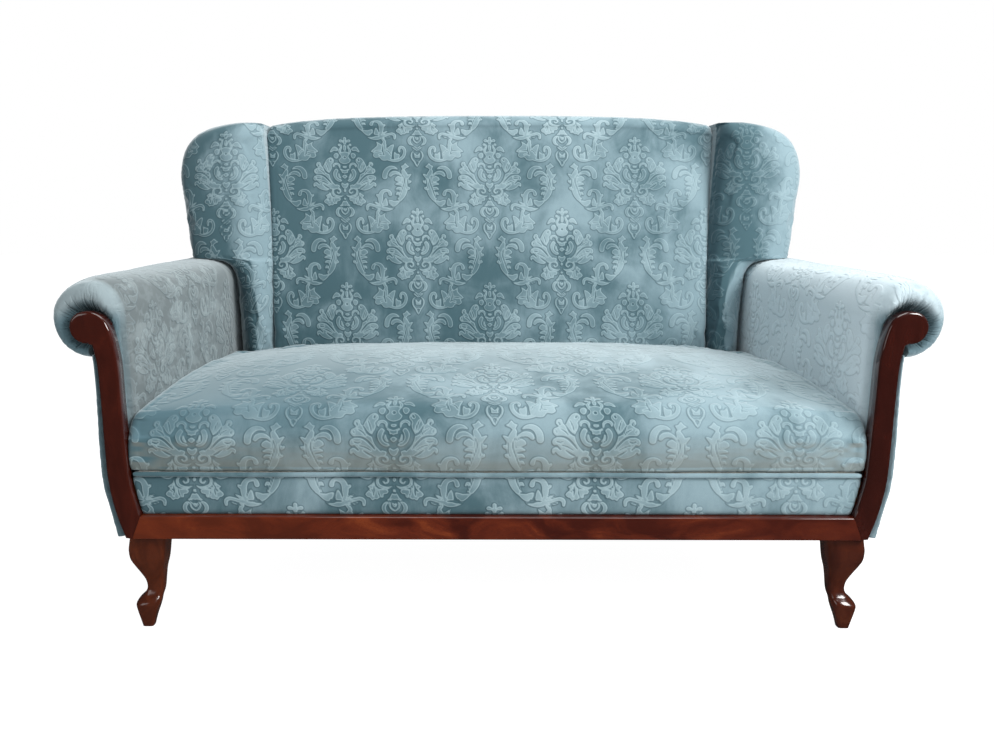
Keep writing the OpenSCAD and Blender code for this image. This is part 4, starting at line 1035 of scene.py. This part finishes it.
def build_arm(side):
    valley, reach = folds(11 if side < 0 else 23)
    # The gathers start behind the facing's head, and the wall below is tucked behind the facing
    neck_r = HEAD_R - 3 + (43 - HEAD_R) * (np.maximum(0, ANGLES - 90) / 90) ** 2
    neck_x, neck_z = neck_r * np.cos(np.radians(ANGLES)), neck_r * np.sin(np.radians(ANGLES))
    in_x = ROLL_X + np.concatenate([-46 + 6 * smooth((WALL_STEPS - 0.8) / 0.2), neck_x])
    in_z = np.concatenate([WALL_Z0 + (HEAD_Z - WALL_Z0) * WALL_STEPS, HEAD_Z + neck_z])
    front_r = ROLL_R - ROLL_DRAW + 0.5
    out_x, out_z = arm_row(FRONT_Y, front_r)
    core_x, core_z = arm_row(FRONT_Y, front_r - PADDING_T)
    on_roll = np.concatenate([np.zeros(WALL_N), smooth((180 - ANGLES) / 45)])
    valley = np.concatenate([np.zeros(WALL_N), valley]) * on_roll
    reach = np.concatenate([np.ones(WALL_N), reach])
    rows, inner = [], []
    for share, roll_dy, wall_dy in RIM:
        fold = valley * smooth((reach - share) / 0.3) * smooth(share / 0.07)
        out = share - 0.03 * fold
        y = ARM_FRONT_Y + wall_dy + (roll_dy - wall_dy) * on_roll + 5.0 * fold
        rows.append(points(in_x + (out_x - in_x) * out, y, in_z + (out_z - in_z) * out))
        inner.append(points(in_x + (core_x - in_x) * share, ARM_FRONT_Y + PADDING_T + 2,
                            in_z + (core_z - in_z) * share))
    for depth in np.linspace(42, SEAT_D, 170):
        y, r = FRONT_Y + depth, ROLL_R - ROLL_DRAW * math.exp(-(depth - DRAWN_AT) / DRAWN_OVER)
        for target, size in ((rows, r), (inner, r - PADDING_T)):
            x, z = arm_row(y, size)
            target.append(points(x, y, z))
    for target in (rows, inner):
        x, y, z = target[-1].T
        target.extend(points(x, y + (arm_end(z) - y) * share, z) for share in np.linspace(0, 1, 50)[1:])
    grid, core = np.array(rows), np.array(inner)
    y = grid[..., 1]
    uneven = ripple(y, lengths(grid[-8][:, [0, 2]]), 31 + side) * smooth((y - ARM_FRONT_Y - 10) / 60) * 1.1
    n = normals_of(grid)
    n *= -np.sign(n[len(RIM) + 60, WALL_N + 10, 0])
    grid = grid + n * uneven[..., None]
    # The pattern is laid out along the top of the roll and round one section of the arm
    uv = cloth_uv(lengths(grid[:, WALL_N + 120])[:, None], lengths(grid[len(RIM) + 80][:, [0, 2]]))
    name = HAND[side]
    obj = shell(name + "_arm_pad", grid, core, uv, ARM_VELVET[side], side, sharp=75)
    soft_piece(obj, 0.9, name + "_arm_cover", name + "_arm_padding")


# Facings and outside arms
FACING_OUTER = spline([
    (ROLL_X - 43.5, LEG_H), (ROLL_X - 33, LEG_H + 34), (ROLL_X - 25.5, LEG_H + 66),
    (ROLL_X - 20.5, LEG_H + 100), (ROLL_X - 18.2, LEG_H + 140), (ROLL_X - 17.8, ROLL_Z - 130),
    (ROLL_X - 16.5, ROLL_Z - 80), (ROLL_X - 11, HEAD_Z - HEAD_R - 3)], 7)
FACING_INNER = spline([
    (ROLL_X - 6, HEAD_Z + HEAD_R + 0.5), (ROLL_X - 17, HEAD_Z + HEAD_R - 1.5), (ROLL_X - 30, ROLL_Z + 6),
    (ROLL_X - 41, ROLL_Z - 10), (ROLL_X - 49, ROLL_Z - 40), (ROLL_X - 54, ROLL_Z - 80),
    (ROLL_X - 54.5, ROLL_Z - 130), (ROLL_X - 55.2, LEG_H + 222), (ROLL_X - 56.5, LEG_H + 149),
    (ROLL_X - 58.5, LEG_H + 110), (ROLL_X - 66, LEG_H + 72), (ROLL_X - 73, LEG_H + SHOW_H)], 7)
SIDE_LINE = spline([
    (ROLL_X - 3, ROLL_Z - ROLL_R + 8), (ROLL_X - 4, ROLL_Z - 102), (ROLL_X - 4, ROLL_Z - 150),
    (ROLL_X - 2, LEG_H + 160), (ROLL_X - 4, LEG_H + 96), (ROLL_X - 11, LEG_H + 60),
    (ROLL_X - 23, LEG_H)], 16)


def build_facing(side):
    a = np.radians(np.linspace(-95, 90, 40))
    head = np.stack([ROLL_X - 2 + HEAD_R * np.cos(a), HEAD_Z + HEAD_R * np.sin(a)], axis=1)
    line = np.concatenate([[(MITRE_X, LEG_H)], FACING_OUTER, head, FACING_INNER[1:]]) + GAP
    line[:, 0] *= side
    name = HAND[side]
    obj = outline_solid(name + "_facing", line, FRONT_Y, FRONT_Y + SHOW_T - GAP, edge=5.5, crown=0.6,
                        material=FACING_WOOD)
    wood_piece(obj, name + "_arm_facing")


def build_outside_arm(side):
    rows, inner = [], []
    order = np.argsort(FACING_OUTER[:, 1])
    turn_end = FRONT_Y + 45
    for x, z in SIDE_LINE:
        inset = float(np.interp(z, FACING_OUTER[order, 1], FACING_OUTER[order, 0])) - 3
        run = float(arm_end(z)) - turn_end
        turn = spline([(inset, FRONT_Y + 25.5), (inset + 4, FRONT_Y + 21),
                       ((inset + x) / 2 + 2, FRONT_Y + 14.5), (x - 4, FRONT_Y + 13),
                       (x - 0.8, FRONT_Y + 16), (x, FRONT_Y + 22), (x, turn_end)], 3)
        rest = [(x + 0.8 * math.sin(math.pi * s), turn_end + run * s) for s in np.linspace(0, 1, 150)[1:]]
        plan = np.concatenate([turn, rest])
        rows.append(points(plan[:, 0], plan[:, 1], z))
        back_y = np.concatenate([np.maximum(turn[:, 1] + 3, FRONT_Y + 27), plan[len(turn):, 1]])
        inner.append(points(np.minimum(plan[:, 0], x - 3.5), back_y, z))
    grid, core = np.array(rows), np.array(inner)
    name = HAND[side]
    uv = cloth_uv(across_grid(grid), grid[:, :1, 2] + 40)
    obj = shell(name + "_arm_side", grid, core, uv, ARM_VELVET[side], side)
    soft_piece(obj, 0.95, name + "_outside_arm")


# Border, piping, rail
def build_border():
    z = BORDER_Z0 + BORDER_H * (0.5 - 0.5 * np.cos(np.linspace(0, math.pi, 37)))
    # It ends beside the facings, which lean outwards
    half = np.interp(z, [BORDER_Z0, BORDER_Z1 - 10, BORDER_Z1], [ROLL_X - 73.5, ROLL_X - 61, ROLL_X - 59.5])
    side = np.linspace(-1, 1, 501)[:, None]
    x, left = side * half, (1 - np.abs(side)) * half
    y = (BORDER_Y + 5 * round_off(np.minimum(z - BORDER_Z0, BORDER_Z1 - z), 11) + 3 * round_off(left, 10)
         - 1.6 * np.sin(math.pi * (z - BORDER_Z0) / BORDER_H) - 0.5 * ripple(x, z * 3, 9))
    uv = cloth_uv((x - SEAT_AXIS) / SEAT_STRETCH, z - BORDER_MOTIF_Z)
    obj = shell("seat_border", points(x, y, z), points(x * 0.998, BORDER_Y + 11.5, z), uv, VELVET)
    soft_piece(obj, 0.9, "border_cover", "border_pad")


def build_piping():
    rng = random.Random(5)
    bend = [(rng.uniform(0.004, 0.02), rng.uniform(0, 6.28)) for _ in range(4)]
    ring, stations = 14, 261
    a = 2 * math.pi * np.arange(ring) / ring
    verts = []
    for x in np.linspace(-PIPING_END, PIPING_END, stations):
        sway = sum(math.sin(k * x + ph) for k, ph in bend) * 0.22
        r = (PIPING_D - GAP) / 2 * (1 + 0.025 * math.sin(x * 0.11) + 0.015 * math.sin(x * 0.031 + 1))
        r *= 1 - 0.3 * smooth((abs(x) - PIPING_END + 4) / 4)
        q = r * (1 + 0.03 * np.sin(3 * a + x * 0.06))
        verts.append(points(x, BORDER_Y - 1 + q * np.cos(a), PIPING_Z + sway + q * np.sin(a)))
    mesh = mesh_from("piping", np.concatenate(verts), ring_faces(stations, ring), PLAIN_VELVET, sharp=50.0)
    soft_piece(new_object("piping", mesh), 1.0, "seat_piping")


def build_rail():
    edge, low, top, rear = 4.2, 2.0, LEG_H + SHOW_H, FRONT_Y + SHOW_T
    profile = [(rear, LEG_H + 0.6), (rear - 0.6, LEG_H)]
    profile += [(FRONT_Y + low - low * math.sin(a), LEG_H + low - low * math.cos(a))
                for a in np.linspace(0, math.pi / 2, 4)]
    profile += [(FRONT_Y - 0.5, LEG_H + SHOW_H * 0.45)]
    profile += [(FRONT_Y + edge - edge * math.cos(a), top - edge + edge * math.sin(a))
                for a in np.linspace(0, math.pi / 2, 9)]
    profile += [(rear - 0.6, top), (rear, top - 0.6)]
    y, z = np.array(profile).T
    stations = np.linspace(-1, 1, 41)[:, None]
    verts = points(stations * (MITRE_X - 17 * (z - LEG_H) / SHOW_H), y, z).reshape(-1, 3)
    faces = ring_faces(len(stations), len(profile), flip=True)
    mesh = mesh_from("front_rail", verts, faces, RAIL_WOOD, sharp=40.0)
    wood_piece(new_object("front_rail", mesh), "show_rail")


# Front legs: share of the height, how far the outer face stands out, the inner face stands in, squareness
LEG_ROWS = [
    (0, -10.8, 29, 5), (0.1, -7.2, 24, 5), (0.2, -3, 17.5, 4), (0.245, -1.2, 14.5, 3.2),
    (0.268, -1.2, 13.4, 2.8), (0.288, -2.9, 12.6, 2.6), (0.306, -6, 12, 2.6), (0.322, -9.9, 11.5, 2.6),
    (0.34, -14, 11, 3.2), (0.38, -18.6, 10, 4), (0.43, -19.6, 9, 5), (0.5, -17.6, 7.5, 6),
    (0.6, -10.5, 4.5, 7), (0.69, -3.2, 0, 7), (0.76, 1.2, -2.5, 7), (0.85, 2.5, -4.5, 7), (0.91, 1, -5.5, 8),
    (1, -1.5, -7, 9)]


def build_front_leg(side):
    rows = spline(LEG_ROWS, 5)
    ring = 64
    angle = np.linspace(0, 2 * math.pi, ring, endpoint=False) + math.pi / ring
    c, s = np.cos(angle), np.sin(angle)
    # The corner that faces the middle of the frame is cut round
    hidden = clamp(-c * 2) * clamp(s * 2)
    verts = []
    for share, out, into, square in rows:
        high = LEG_OUT_X + out
        low = LEG_OUT_X + into - LEG_W + 10
        mid, half = (high + low) / 2, (high - low) / 2
        power = square + (2 - square) * hidden
        q = (np.abs(c) ** power + np.abs(s) ** power) ** (-1 / power)
        # The rim of the toe rises to its inner side
        lean = math.exp(-((share - 0.29) / 0.05) ** 2) * 3.5
        z = share * LEG_H - lean * q * (c - s) * 0.5
        verts.append(points((mid + half * q * c) * side, LEG_FRONT_Y - (mid - LEG_OUT_X) + half * q * s,
                            np.maximum(0, z)))
    groups = ring_faces(len(rows), ring, flip=True)
    if side > 0:
        groups = [group[:, ::-1] for group in groups]
    name = HAND[side]
    mesh = mesh_from(name + "_cabriole_leg", np.concatenate(verts), groups, LEG_WOOD, sharp=55.0)
    wood_piece(new_object(name + "_cabriole_leg", mesh), "front_" + name + "_leg")


def build_outside_back():
    top, crown_from = BACK_H - 27.2, 850
    z = np.concatenate([np.linspace(LEG_H, ARM_H - 2 * ROLL_R - 1, 90),
                        np.linspace(ARM_H - 2 * ROLL_R, ARM_H, 45), np.linspace(ARM_H + 2.5, top, 95)])
    low = SIDE_LINE[::-1]
    low = low[low[:, 1] < ROLL_Z - ROLL_R]
    a = np.radians(np.linspace(-90, 88, 60))
    half = np.interp(z, np.concatenate([low[:, 1], ROLL_Z + ROLL_R * np.sin(a), WING_LINE[:, 1]]),
                     np.concatenate([low[:, 0], ROLL_X + ROLL_R * np.cos(a), WING_LINE[:, 0]]))
    u = np.linspace(-1, 1, 411)
    x = (np.sign(u) * np.abs(u) ** 0.85)[:, None] * half
    crowned = crown_top(clamp(np.abs(x) / seam_x(BACK_H)))
    zz = z + (crowned - top) * clamp((z - crown_from) / (top - crown_from)) ** 2
    left = np.minimum(half - np.abs(x), np.minimum(z - LEG_H, top - z))
    y = rear_y(zz)
    grid = points(x, y - 3.5 * round_off(left, 6) + 1.2 * smooth(left / 120) - 0.2, zz)
    core = points(x * 0.999, y - PANEL_RAKED, zz - 0.4 * (zz - LEG_H) / 800)
    soft_piece(shell("back_panel", grid, core, cloth_uv(x, zz / RAKE_COS), VELVET), 1.0, "outside_back")


build_seat()
build_back()
for hand in HAND:
    build_wing(hand)
    build_outside_wing(hand)
    build_arm(hand)
    build_outside_arm(hand)
    build_facing(hand)
    build_front_leg(hand)
build_outside_back()
build_border()
build_piping()
build_rail()
for name in ("rear_left_leg", "rear_right_leg"):
    bevel = bpy.data.objects[name].modifiers.new("soft_edges", "BEVEL")
    bevel.width, bevel.segments, bevel.limit_method = 0.003, 3, "ANGLE"


# Floor, light and camera
def build_stage():
    """Pale floor that the camera sees nearly white, with only a soft shadow on it, and lacquer sees dark."""
    mesh = bpy.data.meshes.new("floor")
    s = 12.0
    mesh.from_pydata([(-s, -s, 0), (s, -s, 0), (s, s, 0), (-s, s, 0)], [], [(0, 1, 2, 3)])
    mat, g, p, _ = new_material("pale_floor")
    g.link(p, {"Base Color": (0.9, 0.9, 0.9, 1), "Roughness": 0.9})
    output = next(n for n in mat.node_tree.nodes if n.type == "OUTPUT_MATERIAL")
    diffuse = output.inputs[0].links[0].from_socket
    path = g.add("ShaderNodeLightPath").outputs
    camera = path["Is Camera Ray"]
    glow = g.add("ShaderNodeEmission", {"Strength": g.total(g.product(camera, 1.35), 0.04)})
    share = g.total(g.product(camera, 0.7), path["Is Glossy Ray"])
    blend = g.add("ShaderNodeMixShader", {0: share, 1: diffuse, 2: glow.outputs[0]})
    g.link(output.inputs, {0: blend.outputs[0]})
    mesh.materials.append(mat)
    floor = bpy.data.objects.new("floor", mesh)
    bpy.context.scene.collection.objects.link(floor)


def area_light(name, place, target, size, power):
    data = bpy.data.lights.new(name, "AREA")
    data.shape, data.size, data.size_y, data.energy = "RECTANGLE", size[0], size[1], power
    obj = bpy.data.objects.new(name, data)
    obj.location = place
    obj.rotation_euler = (Vector(target) - Vector(place)).to_track_quat("-Z", "Y").to_euler()
    bpy.context.scene.collection.objects.link(obj)


def build_light():
    area_light("key", (2.0, -1.5, 1.9), (0.0, 0.0, 0.5), (1.1, 1.0), 62)
    area_light("ceiling", (0.4, 0.0, 3.4), (0.0, 0.1, 0.0), (3.0, 2.2), 78)
    area_light("fill", (-2.6, -2.6, 1.5), (0.0, 0.0, 0.5), (1.6, 1.6), 14)
    area_light("rear", (0.5, 3.0, 2.6), (0.0, 0.3, 0.6), (3.0, 1.6), 26)
    world = bpy.data.worlds.new("studio")
    bpy.context.scene.world = world
    world.use_nodes = True
    world.node_tree.nodes.clear()
    g = Nodes(world.node_tree)
    path = g.add("ShaderNodeLightPath").outputs
    seen = g.add("ShaderNodeBackground", {0: (1.0, 1.0, 1.0, 1.0), 1: 1.0})
    strength = g.math("SUBTRACT", 0.38, g.product(path["Is Glossy Ray"], 0.34))
    soft = g.add("ShaderNodeBackground", {0: (0.95, 0.97, 1.0, 1.0), 1: strength})
    blend = g.add("ShaderNodeMixShader", {0: path["Is Camera Ray"], 1: soft.outputs[0], 2: seen.outputs[0]})
    g.add("ShaderNodeOutputWorld", {0: blend.outputs[0]})


def build_camera():
    """Where the photograph was taken from, fitted to it."""
    yaw, pitch, roll = -0.00659, 0.18203, -0.00034
    photo_w, focal_px, sensor = 994, 810.2, 36.0
    forward = Vector((math.sin(yaw) * math.cos(pitch), math.cos(yaw) * math.cos(pitch), -math.sin(pitch)))
    right = Vector((math.cos(yaw), -math.sin(yaw), 0))
    up = right.cross(forward)
    across = right * math.cos(roll) + up * math.sin(roll)
    above = up * math.cos(roll) - right * math.sin(roll)
    data = bpy.data.cameras.new("camera")
    data.sensor_width, data.lens = sensor, focal_px * sensor / photo_w
    data.shift_x, data.shift_y = 0.03343, -0.0078
    obj = bpy.data.objects.new("camera", data)
    obj.matrix_world = Matrix.Translation((-0.04921, -1.787, 0.77493)) @ Matrix(
        (across, above, -forward)).transposed().to_4x4()
    bpy.context.scene.collection.objects.link(obj)
    bpy.context.scene.camera = obj


build_stage()
build_light()
build_camera()
bpy.context.scene.view_settings.view_transform = "Standard"
